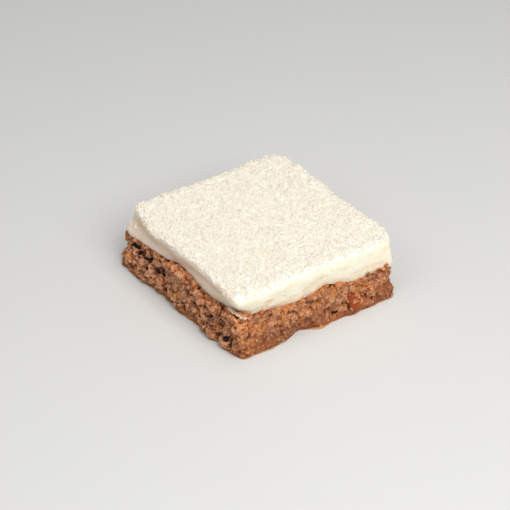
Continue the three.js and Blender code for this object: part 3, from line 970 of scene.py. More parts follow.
@dataclass
class Sponge:
    """The sponge: its torn, clumpy sides with their creases, hollows and lumps."""

    cuts: int = 6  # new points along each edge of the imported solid's sides
    clump: float = 5.0
    clump_relief: float = 1.2
    lump: float = 2.6
    lump_relief: float = 0.78
    bead: float = 1.15
    bead_relief: float = 0.24
    ledge: float = 0.9  # how much further out some clumps stand than others
    cut_level: float = 0.45  # the knife took off what stood out further than this
    cut_softness: float = 0.7
    crease_depth: float = 1.1
    dip_steps: int = 50  # steps outward over the mesh that a point's depth is compared with
    pit: float = 2.1
    pit_depth: float = 0.9
    tear_depth: float = 2.0
    hollow_reach: float = 0.78  # the hollows' measured reach includes their soft brim
    lump_rise: float = 0.7
    crest_rise: float = 0.6
    drape: tuple[float, float, float] = (-1.5, 0.9, -3.0)  # where the custard weighs down the right corner
    drapes: tuple[Bell, ...] = (Bell((39.8, -35.4, 15.8), (3.6, 4.4, 3.2)),)
    ledge_edge: float = -29.0  # where the ledge in front of the custard's -X side ends
    lid_from: float = 9.0  # faces that look up from above here are under the custard
    upright: float = 0.75  # least share of a normal that counts as facing up or down
    rounding: int = 8
    inside: tuple[float, float] = (34.0, 33.0)  # X and Y of the middle part, which doesn't show
    front_from: tuple[float, float] = (-33.0, -35.5)  # Y over which the -Y side begins
    foot_to: tuple[float, float] = (3.4, 0.6)  # Z over which the calm foot begins
    crest_height: float = 1.6
    crest_width: tuple[float, float] = (2.4, 0.6)  # distance from the rim over which it begins
    shallow_front: float = 0.3  # how much shallower the hollows of the -Y side are
    calm_front: float = 0.5  # share of the relief that the clean knife cut on the -Y side keeps
    calm_foot: float = 0.3  # share of it that is left at the foot
    front_soak: float = 1.3  # how much higher the syrup has soaked up the -Y side
    brim: float = 0.9  # how far crumbs stand out along the upper edge
    calm_ledge: float = 0.6  # how much lower they stay along the -X side
    deepening: float = 0.35  # extra depth of the hollows near the left corner
    # The middles of most hollows were found by a search for dark spots; the rest were given one by one.
    hollows: tuple[Bell, ...] = (
        Bell((-37.1, 34.4, 9.9), (3, 1.6, 1.5), 1.2),
        Bell((-36.7, 31.9, 10.8), (3, 1.3, 0.9)),
        Bell((-37.0, 29.1, 10.5), (3, 1.4, 1.2), 1.1),
        Bell((-37.6, 26.5, 10.0), (3, 1.5, 0.9)),
        Bell((-38.1, 28.0, 8.6), (3, 1.0, 0.6), 0.8),
        Bell((-37.3, 24.0, 10.7), (3, 1.5, 0.9)),
        Bell((-36.9, 21.4, 10.8), (3, 1.5, 1.2), 1.1),
        Bell((-38.6, 21.2, 7.6), (3, 0.9, 0.9)),
        Bell((-37.2, 17.0, 8.2), (3, 1.9, 1.3), 1.3),
        Bell((-36.8, 14.1, 10.4), (3, 1.6, 1.5), 1.3),
        Bell((-36.5, 12.6, 12.4), (3, 0.8, 1.2)),
        Bell((-36.6, 11.6, 9.6), (3, 1.3, 0.8)),
        Bell((-38.1, 12.1, 7.8), (3, 0.8, 0.6), 0.8),
        Bell((-36.9, 14.3, 16.7), (3, 0.7, 0.6), 0.8),
        Bell((-39.4, 20.8, 3.7), (3, 1.0, 0.8), 0.8),
        Bell((-40.0, 32.6, 4.2), (3, 0.7, 1.4), 0.7),
        Bell((-38.3, 5.2, 4.2), (3, 1.6, 0.8), 0.7),
        Bell((-37.4, -2.8, 5.6), (3, 1.0, 1.1), 0.9),
        Bell((-37.6, 0.3, 5.3), (3, 1.1, 0.7), 0.7),
        Bell((-36.6, -1.7, 10.6), (3, 0.9, 1.2), 0.9),
        Bell((-36.3, -2.3, 14.3), (3, 0.8, 0.7), 0.8),
        Bell((-36.8, -7.6, 3.9), (3, 1.4, 1.2)),
        Bell((-36.4, -8.8, 9.9), (3, 1.4, 0.7), 0.8),
        Bell((-35.7, -8.8, 15.3), (3, 0.7, 0.7), 0.8),
        Bell((-35.7, -12.2, 12.7), (3, 0.9, 0.7), 0.7),
        Bell((-35.4, -13.8, 5.7), (3, 1.1, 1.1), 0.9),
        Bell((-36.3, -16.5, 4.2), (3, 1.2, 1.3), 0.8),
        Bell((-34.5, -13.6, 15.4), (3, 1.2, 0.6), 0.9),
        Bell((-35.3, -17.4, 12.0), (3, 1.0, 0.7), 0.7),
        Bell((-35.2, -18.6, 8.5), (3, 1.3, 0.7), 0.7),
        Bell((-35.3, -21.2, 15.6), (3, 1.3, 1.0)),
        Bell((-34.8, -21.0, 7.7), (3, 1.0, 1.2), 0.7),
        Bell((-35.4, -23.8, 13.9), (3, 1.3, 0.8), 0.9),
        Bell((-34.9, -26.8, 13.8), (3, 1.7, 1.0), 1.2),
        Bell((-34.2, -26.4, 9.6), (3, 0.9, 2.2)),
        Bell((-35.3, -26.8, 6.2), (3, 1.1, 1.4)),
        Bell((-34.9, -30.2, 4.8), (3, 1.8, 1.3), 1.3),
        Bell((-33.8, -33.0, 4.1), (3, 1.3, 0.8), 0.9),
        Bell((-34.6, -32.6, 10.8), (3, 1.0, 0.7), 0.7),
        Bell((-34.6, -35.6, 2.6), (2, 1.2, 0.8), 0.8),
        Bell((-33.4, -35.2, 12.8), (2, 1.2, 0.8), 0.8),
        Bell((-31.0, -37.0, 16.0), (1.3, 2, 0.6), 0.8),
        Bell((-32.4, -37.9, 6.9), (0.9, 2, 0.8), 0.7),
        Bell((-31.0, -39.9, 1.7), (1.1, 2, 0.8), 0.9),
        Bell((-29.0, -37.8, 10.0), (1.2, 3, 1.0), 0.9),
        Bell((-26.6, -37.7, 10.1), (1.5, 3, 0.5), 0.7),
        Bell((-21.6, -37.4, 12.4), (1.3, 3, 0.5), 0.6),
        Bell((-18.8, -37.3, 14.0), (0.9, 3, 0.6), 0.7),
        Bell((-14.0, -38.8, 7.3), (0.8, 3, 1.2), 0.6),
        Bell((-16.9, -38.6, 8.6), (0.6, 3, 0.6), 0.6),
        Bell((-8.2, -39.0, 3.8), (0.8, 3, 1.4), 0.6),
        Bell((-6.0, -38.3, 8.9), (0.6, 3, 0.6), 0.7),
        Bell((-5.3, -38.4, 2.2), (1.6, 3, 1.0), 1.0),
        Bell((-4.3, -38.0, 5.0), (1.1, 3, 0.9), 0.9),
        Bell((-7.7, -37.9, 13.3), (0.7, 3, 1.5), 0.7),
        Bell((-4.9, -37.9, 14.7), (1.3, 3, 0.5), 0.7),
        Bell((-1.8, -38.2, 14.9), (1.3, 3, 0.5), 0.7),
        Bell((0.8, -38.8, 3.7), (0.8, 3, 0.7), 0.7),
        Bell((2.6, -38.2, 8.0), (0.9, 3, 0.7), 0.8),
        Bell((2.9, -40.0, 2.1), (0.8, 3, 0.7), 0.7),
        Bell((8.6, -37.4, 16.2), (1.8, 3, 0.6), 0.8),
        Bell((10.8, -39.0, 3.3), (1.5, 3, 1.2), 1.2),
        Bell((13.9, -38.9, 6.7), (0.9, 3, 1.6), 0.8),
        Bell((16.4, -39.9, 4.3), (1.0, 3, 1.8), 1.1),
        Bell((24.0, -37.4, 12.8), (0.8, 3, 1.0), 0.7),
        Bell((28.6, -37.4, 10.9), (1.5, 3, 0.5), 0.7),
        Bell((25.4, -39.3, 5.6), (0.9, 3, 0.8), 0.8),
        Bell((27.9, -40.1, 3.5), (1.0, 3, 1.2), 0.9),
        Bell((30.0, -39.4, 6.0), (1.0, 3, 0.7), 0.7),
        Bell((34.6, -39.3, 6.0), (1.0, 3, 0.7), 0.7),
        Bell((39, 9.3, 9.7), (4, 2.4, 1.3), 0.9),
        Bell((39, -8.0, 6.0), (4, 1.6, 1.4), 0.8),
        Bell((38, 28.0, 12.0), (4, 2.6, 1.0), 0.8),
        Bell((38, -24.0, 11.0), (4, 1.3, 1.0), 0.9),
        Bell((38, 18.0, 4.0), (4, 1.4, 1.0), 0.8),
        Bell((14.0, 39, 11.0), (2.8, 4, 1.2), 0.9),
        Bell((-26.0, 40, 12.0), (2.4, 4, 1.2), 0.9),
        Bell((-8.0, 40, 5.0), (1.6, 4, 1.4), 0.7),
        Bell((28.0, 39, 6.0), (1.8, 4, 1.2), 0.8),
        Bell((2.0, 39, 8.5), (1.3, 4, 1.0), 0.9),
    )
    # The middles of about half of the lumps were found by a search for light spots.
    lumps: tuple[Bell, ...] = (
        Bell((-38.9, 28.0, 5.6), (3, 2.9, 1.5), 1.2),
        Bell((-36.7, 7.5, 15.3), (3, 1.7, 1.6)),
        Bell((-36.5, 16.0, 13.6), (3, 2.4, 1.2), 0.8),
        Bell((-35.6, 34.6, 12.2), (3, 2.2, 1.1), 0.8),
        Bell((-34.3, -32.7, 15.6), (3, 2.2, 1.5), 0.9),
        Bell((-35.5, -11.0, 15.0), (3, 1.3, 2.0), 0.9),
        Bell((-35.2, -17.8, 10.2), (3, 2.3, 0.9), 0.8),
        Bell((-33.8, -28.6, 8.6), (3, 1.0, 2.0), 0.8),
        Bell((-38.5, 31.0, 8.6), (3, 1.4, 1.2), 0.7),
        Bell((-36.7, 2.0, 11.7), (3, 1.1, 1.4), 0.7),
        Bell((-35.7, -20.8, 5.4), (3, 2.4, 1.4), 0.6),
        Bell((-37.3, -5.4, 5.6), (3, 1.2, 1.4), 0.6),
        Bell((-32.4, -38.0, 4.9), (2.8, 3, 1.3), 0.8),
        Bell((-31.6, -37.4, 9.1), (1.4, 3, 1.3), 0.8),
        Bell((-31.4, -36.9, 13.8), (1.7, 3, 1.4), 0.8),
        Bell((-18.4, -38.0, 10.4), (2.6, 3, 1.4), 0.7),
        Bell((-2.7, -38.2, 12.4), (2.2, 3, 1.7), 0.9),
        Bell((10.7, -37.7, 10.5), (2.4, 3, 1.2), 0.6),
        Bell((9.7, -38.6, 6.0), (1.5, 3, 1.3), 0.8),
        Bell((0.2, -38.1, 7.3), (1.1, 3, 1.0), 0.5),
        Bell((-12.7, -39.2, 4.7), (1.0, 3, 0.9), 0.5),
        Bell((27.0, -37.0, 14.2), (1.2, 3, 0.8), 0.5),
        Bell((39, 0.0, 9.0), (4, 2.6, 1.6), 0.8),
        Bell((20.0, 40, 7.0), (2.6, 4, 1.6), 0.8),
        Bell((-16.0, 40, 9.0), (2.2, 4, 1.4), 0.7),
    )
    spikes: tuple[Bell, ...] = (
        Bell((-36.2, 33.6, 13.6), (1.2, 1.0, 1.2), 1.6),
        Bell((36.6, -36.8, 14.2), (1.6, 1.6, 1.2), 1.0),
        Bell((-36.2, 4.0, 18.6), (1.4, 1.6, 1.2), 1.2),
        Bell((9.0, -37.0, 16.6), (2.2, 1.4, 1.0), 0.9),
    )
    warm_spots: tuple[Bell, ...] = (
        Bell((-27.6, -37.4, 12.4), (1.9, 4, 2.6)),
        Bell((-21.9, -36.8, 15.2), (2.0, 4, 1.0), 0.8),
        Bell((8.8, -37.4, 15.2), (3.4, 4, 1.1), 0.9),
        Bell((2.4, -37.6, 15.8), (1.6, 4, 0.7), 0.8),
        Bell((33.6, -36.4, 14.0), (2.6, 4, 2.0), 1.0),
        Bell((13.0, -39.6, 3.6), (2.2, 4, 1.4), 0.7),
        Bell((21.6, -39.4, 4.6), (2.4, 4, 3.0), 0.9),
        Bell((7.6, -39.8, 1.2), (4.0, 4, 0.9), 0.7),
        Bell((-4.0, -38.6, 5.2), (1.0, 4, 2.2), 0.9),
        Bell((-30.2, -39.4, 4.4), (2.0, 4, 1.6), 0.8),
        Bell((-36.0, 3.0, 17.0), (4, 5.4, 1.8), 1.0),
        Bell((-37.6, 3.6, 5.2), (4, 3.6, 2.0), 0.7),
        Bell((-39.0, 34.0, 7.0), (4, 2.4, 2.4), 0.9),
        Bell((-36.2, 32.6, 13.2), (4, 2.6, 1.2), 0.9),
        Bell((-36.0, 20.0, 15.4), (4, 4.0, 1.2), 0.7),
        Bell((-35.0, -22.0, 16.4), (4, 3.0, 0.9), 0.6),
        Bell((-37.0, -9.0, 2.2), (4, 4.0, 1.4), 0.6),
        Bell((-35.6, -26.4, 3.0), (4, 3.0, 1.4), 0.6),
    )

    def build(self, finish: bpy.types.Material) -> bpy.types.Object:
        """Models the sponge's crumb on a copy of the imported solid.

        Args:
            finish: Its material.

        Returns:
            The finished piece.
        """
        piece = copy_of(Solid.SPONGE, "sponge_crumb")
        rim = self._refine(piece)
        self._mark(piece, rim)
        self._raise_crumb(piece)
        take(piece)
        bpy.ops.object.shade_smooth()
        return settle(piece, finish, stands_for=Solid.SPONGE)

    def _refine(self, piece: bpy.types.Object) -> np.ndarray:
        """Divides the sides' faces and rounds off their facets.

        Args:
            piece: The copy of the solid.

        Returns:
            The points of the sides' upper rim, in millimetres.
        """
        take(piece)
        bpy.ops.object.mode_set(mode="EDIT")
        bpy.ops.mesh.select_all(action="DESELECT")
        bpy.ops.mesh.select_mode(type="FACE")
        bpy.ops.object.mode_set(mode="OBJECT")
        top_points: set[int] = set()
        side_points: set[int] = set()
        for face in piece.data.polygons:
            lid = face.normal.z > self.upright and face.center.z > self.lid_from * MM
            sole = face.normal.z < -self.upright and face.center.z < FLAT * MM
            ledge = lid and face.center.x < self.ledge_edge * MM
            face.select = ledge or not (lid or sole)
            (top_points if lid else side_points).update(face.vertices)
        rim = [piece.data.vertices[index].co / MM for index in top_points & side_points]
        bpy.ops.object.mode_set(mode="EDIT")
        bpy.ops.mesh.subdivide(number_cuts=self.cuts)
        bpy.ops.object.mode_set(mode="OBJECT")
        rounded = piece.vertex_groups.new(name="rounded")
        points = points_of(piece)
        raised = [int(index) for index in np.nonzero(points[:, 2] > 0.2)[0]]
        rounded.add(raised, 1.0, "REPLACE")
        smooth = piece.modifiers.new("round_facets", "SMOOTH")
        smooth.factor = 0.5
        smooth.iterations = self.rounding
        smooth.vertex_group = rounded.name
        apply_modifiers(piece)
        return np.array([tuple(point) for point in rim])

    def _mark(self, piece: bpy.types.Object, rim: np.ndarray) -> None:
        """Works out each point's height, roughness and hollows.

        Args:
            piece: The refined copy.
            rim: The points of the upper rim, in millimetres.
        """
        points = points_of(piece)
        tree = kdtree.KDTree(len(rim))
        for index, point in enumerate(rim):
            tree.insert((point[0], point[1], 0.0), index)
        tree.balance()
        nearest = [tree.find((point[0], point[1], 0.0)) for point in points]
        top = np.array([rim[index][2] for _, index, _ in nearest])
        away = np.array([distance for _, _, distance in nearest])
        below = top - points[:, 2]
        on_wall = np.where((points[:, 2] < FLAT) & (normals_of(piece)[:, 2] < -0.9), 0.0, 1.0)
        within_x, within_y = self.inside
        covered = (np.abs(points[:, 0]) < within_x) & (np.abs(points[:, 1]) < within_y)
        covered &= points[:, 0] > self.ledge_edge
        on_wall = np.where((below < 0.4) & covered & (away > 1.2), 0.0, on_wall)
        front = smoothstep(*self.front_from, points[:, 1])
        foot = smoothstep(*self.foot_to, points[:, 2])
        store(piece, Mark.WALL, on_wall)
        store(piece, Mark.RISE, np.clip(points[:, 2] / top, 0.0, 1.0) ** (1.0 + self.front_soak * front))
        crest = np.clip(1.0 - below / self.crest_height, 0.0, 1.0) * smoothstep(*self.crest_width, away)
        crest += bells_at(points, self.spikes)
        trimmed = smoothstep(35.5, 37.5, points[:, 0]) * smoothstep(-20.0, -27.0, points[:, 1])
        along_left = smoothstep(-28.0, -32.0, points[:, 0]) * (1.0 - front)
        store(piece, Mark.CREST, crest * on_wall * (1.0 - trimmed) * (1.0 - self.calm_ledge * along_left))
        store(piece, Mark.DRAPE, bells_at(points, self.drapes))
        rough_front = 1.0 - front * (1.0 - self.calm_front)
        rough_foot = 1.0 - foot * (1.0 - self.calm_foot)
        store(piece, Mark.ROUGH, rough_front * rough_foot)
        left_corner = smoothstep(6.0, 14.0, points[:, 1]) * (points[:, 0] < -30.0)
        depth = 1.0 - self.shallow_front * front + self.deepening * left_corner
        store(piece, Mark.HOLLOW, bells_at(points, self.hollows, self.hollow_reach) * depth)
        store(piece, Mark.LUMP, np.clip(bells_at(points, self.lumps), 0.0, 1.2))
        store(piece, Mark.WARM, np.clip(bells_at(points, self.warm_spots), 0.0, 1.0))

    def _raise_crumb(self, piece: bpy.types.Object) -> None:
        """Gives the sides their clumps, beads, pits and torn hollows.

        Args:
            piece: The copy with its marks.
        """
        board = ShapeBoard("crumb_relief")
        place = board.place()
        drift = board.vector("SUBTRACT", board.noise(place, 3.0).outputs["Color"], (0.5, 0.5, 0.5))
        jitter = board.vector("SUBTRACT", board.noise(place, 1.1, 3.0, 21).outputs["Color"], (0.5, 0.5, 0.5))
        wandering = board.vector("ADD", place, board.vector("SCALE", drift, scale=5.0))
        wandering = board.vector("ADD", wandering, board.vector("SCALE", jitter, scale=2.0))
        clumps = board.cells(wandering, self.clump, seed=1)
        stand = board.math("SUBTRACT", board.part(clumps.outputs["Color"], "X"), 0.5)
        crumb = board.total(
            self._rounded(board, clumps, self.clump_relief),
            self._rounded(board, board.cells(wandering, self.lump, seed=2), self.lump_relief),
            board.math("MULTIPLY", stand, self.ledge),
            board.math("MULTIPLY", board.mark(Mark.LUMP), self.lump_rise),
        )
        cut = board.add("ShaderNodeMath", {"operation": "SMOOTH_MIN"})
        for socket, value in zip(cut.inputs, (crumb, self.cut_level, self.cut_softness)):
            board.feed(socket, value)
        standing_out = board.ramp(board.noise(place, 2.6, 2.0, 15).outputs["Fac"], 0.4, 0.6, 0.0, self.brim)
        crumb = board.total(
            cut.outputs[0],
            self._rounded(board, board.cells(wandering, self.bead, seed=4), self.bead_relief),
            self._creases(board, place, wandering),
            self._pits(board, wandering),
            board.math("MULTIPLY", board.mark(Mark.CREST), standing_out),
        )
        crumb = board.math("MULTIPLY", crumb, board.mark(Mark.ROUGH))
        stray = board.math("SUBTRACT", board.noise(place, 1.4, 3.0, 7).outputs["Fac"], 0.5)
        jagged = board.math("ADD", board.mark(Mark.HOLLOW), board.math("MULTIPLY", stray, 1.6))
        board.keep(Mark.TORN, board.ramp(jagged, 0.32, 0.6))
        torn = board.math("MULTIPLY", board.mark(Mark.TORN), -self.tear_depth)
        relief = board.math("MULTIPLY", board.math("ADD", crumb, torn), board.mark(Mark.WALL))
        board.keep(Mark.RELIEF, relief)
        around = board.add("GeometryNodeBlurAttribute", {"data_type": "FLOAT"}, Value=board.mark(Mark.RELIEF),
                           Iterations=self.dip_steps)
        board.keep(Mark.DIP, board.math("SUBTRACT", around.outputs["Value"], board.mark(Mark.RELIEF)))
        off_the_foot = board.ramp(board.part(place, "Z"), 0.7, 1.2)
        proud = board.math("MULTIPLY", board.ramp(board.mark(Mark.DIP), 0.15, -0.1), board.mark(Mark.WALL))
        board.keep(Mark.CRUST, board.math("MULTIPLY", proud, off_the_foot))
        normal = board.add("GeometryNodeInputNormal").outputs["Normal"]
        outward = board.vector("SCALE", normal, scale=board.mark(Mark.RELIEF))
        poke = board.ramp(board.noise(place, 2.0, 3.0, 9).outputs["Fac"], 0.38, 0.62, -1.5, 1.5)
        crest = board.math("MULTIPLY", board.mark(Mark.CREST), poke)
        upward = board.add("ShaderNodeCombineXYZ", Z=board.math("MULTIPLY", crest, self.crest_rise))
        board.shift(board.vector("ADD", outward, upward.outputs["Vector"]))
        board.pull(Mark.DRAPE, self.drape)
        board.keep_above_ground()
        board.run_on(piece)

    def _creases(self, board: ShapeBoard, place: bpy.types.NodeSocket,
                 wandering: bpy.types.NodeSocket) -> bpy.types.NodeSocket:
        """Narrow cracks that follow the clumps' edges and break off here and there.

        Args:
            board: The relief's board.
            place: The points' places, in millimetres.
            wandering: The same places, drifted like the clumps.

        Returns:
            Their depth as a height, zero or less.
        """
        edge = board.cells(wandering, self.clump, "DISTANCE_TO_EDGE", seed=1).outputs["Distance"]
        open_here = board.ramp(board.noise(place, 4.0, 1.0, 12).outputs["Fac"], 0.42, 0.56)
        crack = board.math("MULTIPLY", board.ramp(edge, 0.18, 0.03), open_here)
        return board.math("MULTIPLY", crack, -self.crease_depth)

    @staticmethod
    def _rounded(board: ShapeBoard, cells: bpy.types.Node, relief: float) -> bpy.types.NodeSocket:
        """Round-topped lumps with sharp creases between them, out of Voronoi cells.

        Args:
            board: The relief's board.
            cells: The cells.
            relief: How far the lumps stand out, in millimetres.

        Returns:
            Their height, from relief down to about minus relief.
        """
        distance = cells.outputs["Distance"]
        fall = board.math("MULTIPLY", board.math("MULTIPLY", distance, distance), ROUNDNESS)
        return board.math("MULTIPLY", board.math("SUBTRACT", 1.0, fall), relief)

    def _pits(self, board: ShapeBoard, place: bpy.types.NodeSocket) -> bpy.types.NodeSocket:
        """Deep little holes here and there.

        Args:
            board: The relief's board.
            place: Where to look them up, in millimetres.

        Returns:
            Their depth as a height, zero or less.
        """
        pits = board.cells(place, self.pit, seed=3)
        chosen = board.ramp(board.part(pits.outputs["Color"], "X"), 0.86, 0.9)
        hole = board.math("MULTIPLY", chosen, board.ramp(pits.outputs["Distance"], 0.4, 0.15))
        return board.math("MULTIPLY", hole, -self.pit_depth)


@dataclass
class SpongePieces:
    """What is baked into the sponge and shows at its sides: crumbs, nuts and their skins."""

    crumb_size: float = 0.85
    nut_size: float = 2.2
    skin_size: float = 0.75

    def build_crumbs(self, sponge: bpy.types.Object, finish: bpy.types.Material) -> bpy.types.Object:
        """Lays small crumbs over the sponge's sides.

        Args:
            sponge: The finished sponge.
            finish: Their material.

        Returns:
            The joined crumbs.
        """
        size = self.crumb_size
        shapes = [Chunk((size * wide, size, size * tall), 0.2, 1, seed).build(f"crumb_shape_{seed}")
                  for seed, (wide, tall) in enumerate(((1.3, 0.8), (1.0, 0.9), (1.6, 0.7), (0.9, 0.7)))]
        laid = Scatter("sponge_crumbs", 0.7, 0.55, Mark.CRUST, lift=0.05, scale=(0.3, 1.2), tilt=1.2, seed=21)
        return settle(laid.build(sponge, shapes), finish)

    def build_nuts(self, sponge: bpy.types.Object, finish: bpy.types.Material) -> bpy.types.Object:
        """Sets chopped nuts into the sponge's sides.

        Args:
            sponge: The finished sponge.
            finish: Their material.

        Returns:
            The joined nuts.
        """
        size = self.nut_size
        shapes = [Chunk((size * 1.2, size * 0.8, size * 0.6), 0.16, 2, seed).build(f"nut_shape_{seed}")
                  for seed in range(30, 34)]
        laid = Scatter("sponge_nuts", 4.0, 0.03, Mark.CRUST, lift=-0.3, scale=(0.5, 1.2), tilt=0.5, seed=31)
        return settle(laid.build(sponge, shapes), finish)

    def build_skins(self, sponge: bpy.types.Object, finish: bpy.types.Material) -> bpy.types.Object:
        """Strews dark flakes of nut skin over the sponge's sides.

        Args:
            sponge: The finished sponge.
            finish: Their material.

        Returns:
            The joined flakes.
        """
        size = self.skin_size
        shapes = [Chunk((size * 1.5, size, size * 0.35), 0.2, 1, seed).build(f"skin_shape_{seed}")
                  for seed in range(40, 43)]
        laid = Scatter("nut_skins", 2.0, 0.1, Mark.CRUST, lift=0.0, scale=(0.4, 1.1), tilt=0.8, seed=41)
        return settle(laid.build(sponge, shapes), finish)


@dataclass(frozen=True)
class Fruit:
    """The piece of candied fruit that sticks out of the cut at the -Y side."""

    balls: tuple[Bell, ...] = (
        Bell((18.2, -38.6, 7.6), (2.0, 1.2, 2.2)),
        Bell((18.9, -38.9, 5.8), (2.3, 1.4, 2.2)),
        Bell((19.2, -39.4, 4.0), (2.4, 1.5, 2.4)),
        Bell((19.4, -39.9, 2.0), (2.1, 1.3, 1.6)),
        Bell((21.0, -38.9, 4.6), (1.8, 1.3, 2.0)),
    )

    def build(self, finish: bpy.types.Material) -> bpy.types.Object:
        """Models the fruit and settles it."""
        cluster = Cluster("candied_fruit", self.balls, voxel=0.3, relief=0.36, grain=1.6)
        return settle(cluster.build(), finish)


@dataclass(frozen=True)
class TornCrumbs:
    """Bits of toasted crumb that stick up beside the custard at the left and the right corner."""

    balls: tuple[Bell, ...] = (
        Bell((-37.4, 37.7, 12.0), (0.9, 0.9, 1.5)),
        Bell((-37.6, 37.9, 13.6), (0.65, 0.65, 1.3)),
        Bell((-37.4, 37.8, 15.0), (0.45, 0.45, 1.0)),
        Bell((-36.2, 33.9, 14.6), (0.8, 0.9, 0.7)),
        Bell((-36.2, 31.8, 14.9), (0.6, 1.0, 0.6)),
        Bell((36.0, -37.3, 14.9), (1.0, 0.7, 0.9)),
        Bell((7.4, -37.0, 16.4), (1.4, 0.7, 0.6)),
        Bell((-22.2, -36.8, 16.8), (1.3, 0.7, 0.7)),
        Bell((-36.0, 5.6, 18.2), (0.7, 1.5, 0.7)),
    )

    def build(self, finish: bpy.types.Material) -> bpy.types.Object:
        """Models the crumbs and settles them."""
        cluster = Cluster("torn_crumbs", self.balls, voxel=0.2, relief=0.28, grain=0.9)
        return settle(cluster.build(), finish)


@dataclass(frozen=True)
class Scraps:
    """Smears of custard on the sponge below the front corner."""

    balls: tuple[Bell, ...] = (
        Bell((-32.0, -29.6, 17.5), (0.8, 1.3, 0.35)),
        Bell((-31.6, -31.4, 17.2), (0.9, 1.3, 0.4)),
        Bell((-31.0, -33.0, 16.9), (0.8, 1.2, 0.35)),
        Bell((-30.3, -34.9, 16.6), (1.0, 1.2, 0.4)),
        Bell((-29.2, -36.2, 16.3), (1.1, 0.9, 0.4)),
        Bell((-27.8, -36.9, 16.0), (1.1, 0.5, 0.35)),
    )

    def build(self, finish: bpy.types.Material) -> bpy.types.Object:
        """Models the smears and settles them."""
        cluster = Cluster("custard_scraps", self.balls, voxel=0.18, relief=0.2, grain=1.4)
        return settle(cluster.build(), finish)


@dataclass(frozen=True)
class Specks:
    """Brown specks on the custard's cut sides and on its seam."""

    balls: tuple[Bell, ...] = (
        Bell((-12.5, -37.2, 20.8), (0.28, 0.28, 0.28)),
        Bell((17.2, -37.6, 21.0), (0.4, 0.28, 0.26)),
        Bell((27.2, -37.6, 14.2), (1.0, 0.6, 0.7)),
        Bell((22.6, -37.4, 24.0), (0.22, 0.2, 0.18)),
    )

    def build(self, finish: bpy.types.Material) -> bpy.types.Object:
        """Models the specks and settles them."""
        cluster = Cluster("dark_specks", self.balls, voxel=0.1, relief=0.05, grain=0.4)
        return settle(cluster.build(), finish)


@dataclass(frozen=True)
class Fibre:
    """The thin brown fibre that curls out beside the right corner."""

    length: float = 5.6
    width: float = 0.28
    middle: tuple[float, float, float] = (39.9, -36.3, 13.6)
    bow: float = 0.9
    stations: tuple[tuple[float, float], ...] = (
        (-0.5, 0.5), (-0.38, 0.9), (-0.25, 1.0), (-0.1, 1.1),
        (0.05, 1.0), (0.2, 0.9), (0.35, 0.8), (0.5, 0.3))

    def build(self, finish: bpy.types.Material) -> bpy.types.Object:
        """Models the fibre along X, stands it up and moves it to its place.

        Args:
            finish: Its material.

        Returns:
            The finished piece.
        """
        shaving = Sliver(self.length, self.width, self.width, self.bow, 6, self.stations)
        piece = take(shaving.build("brown_fibre"))
        bpy.ops.object.mode_set(mode="EDIT")
        bpy.ops.mesh.select_all(action="SELECT")
        bpy.ops.transform.rotate(value=math.pi / 2, orient_axis="Y", center_override=(0, 0, 0))
        bpy.ops.transform.translate(value=tuple(value * MM for value in self.middle))
        bpy.ops.object.mode_set(mode="OBJECT")
        return settle(piece, finish)


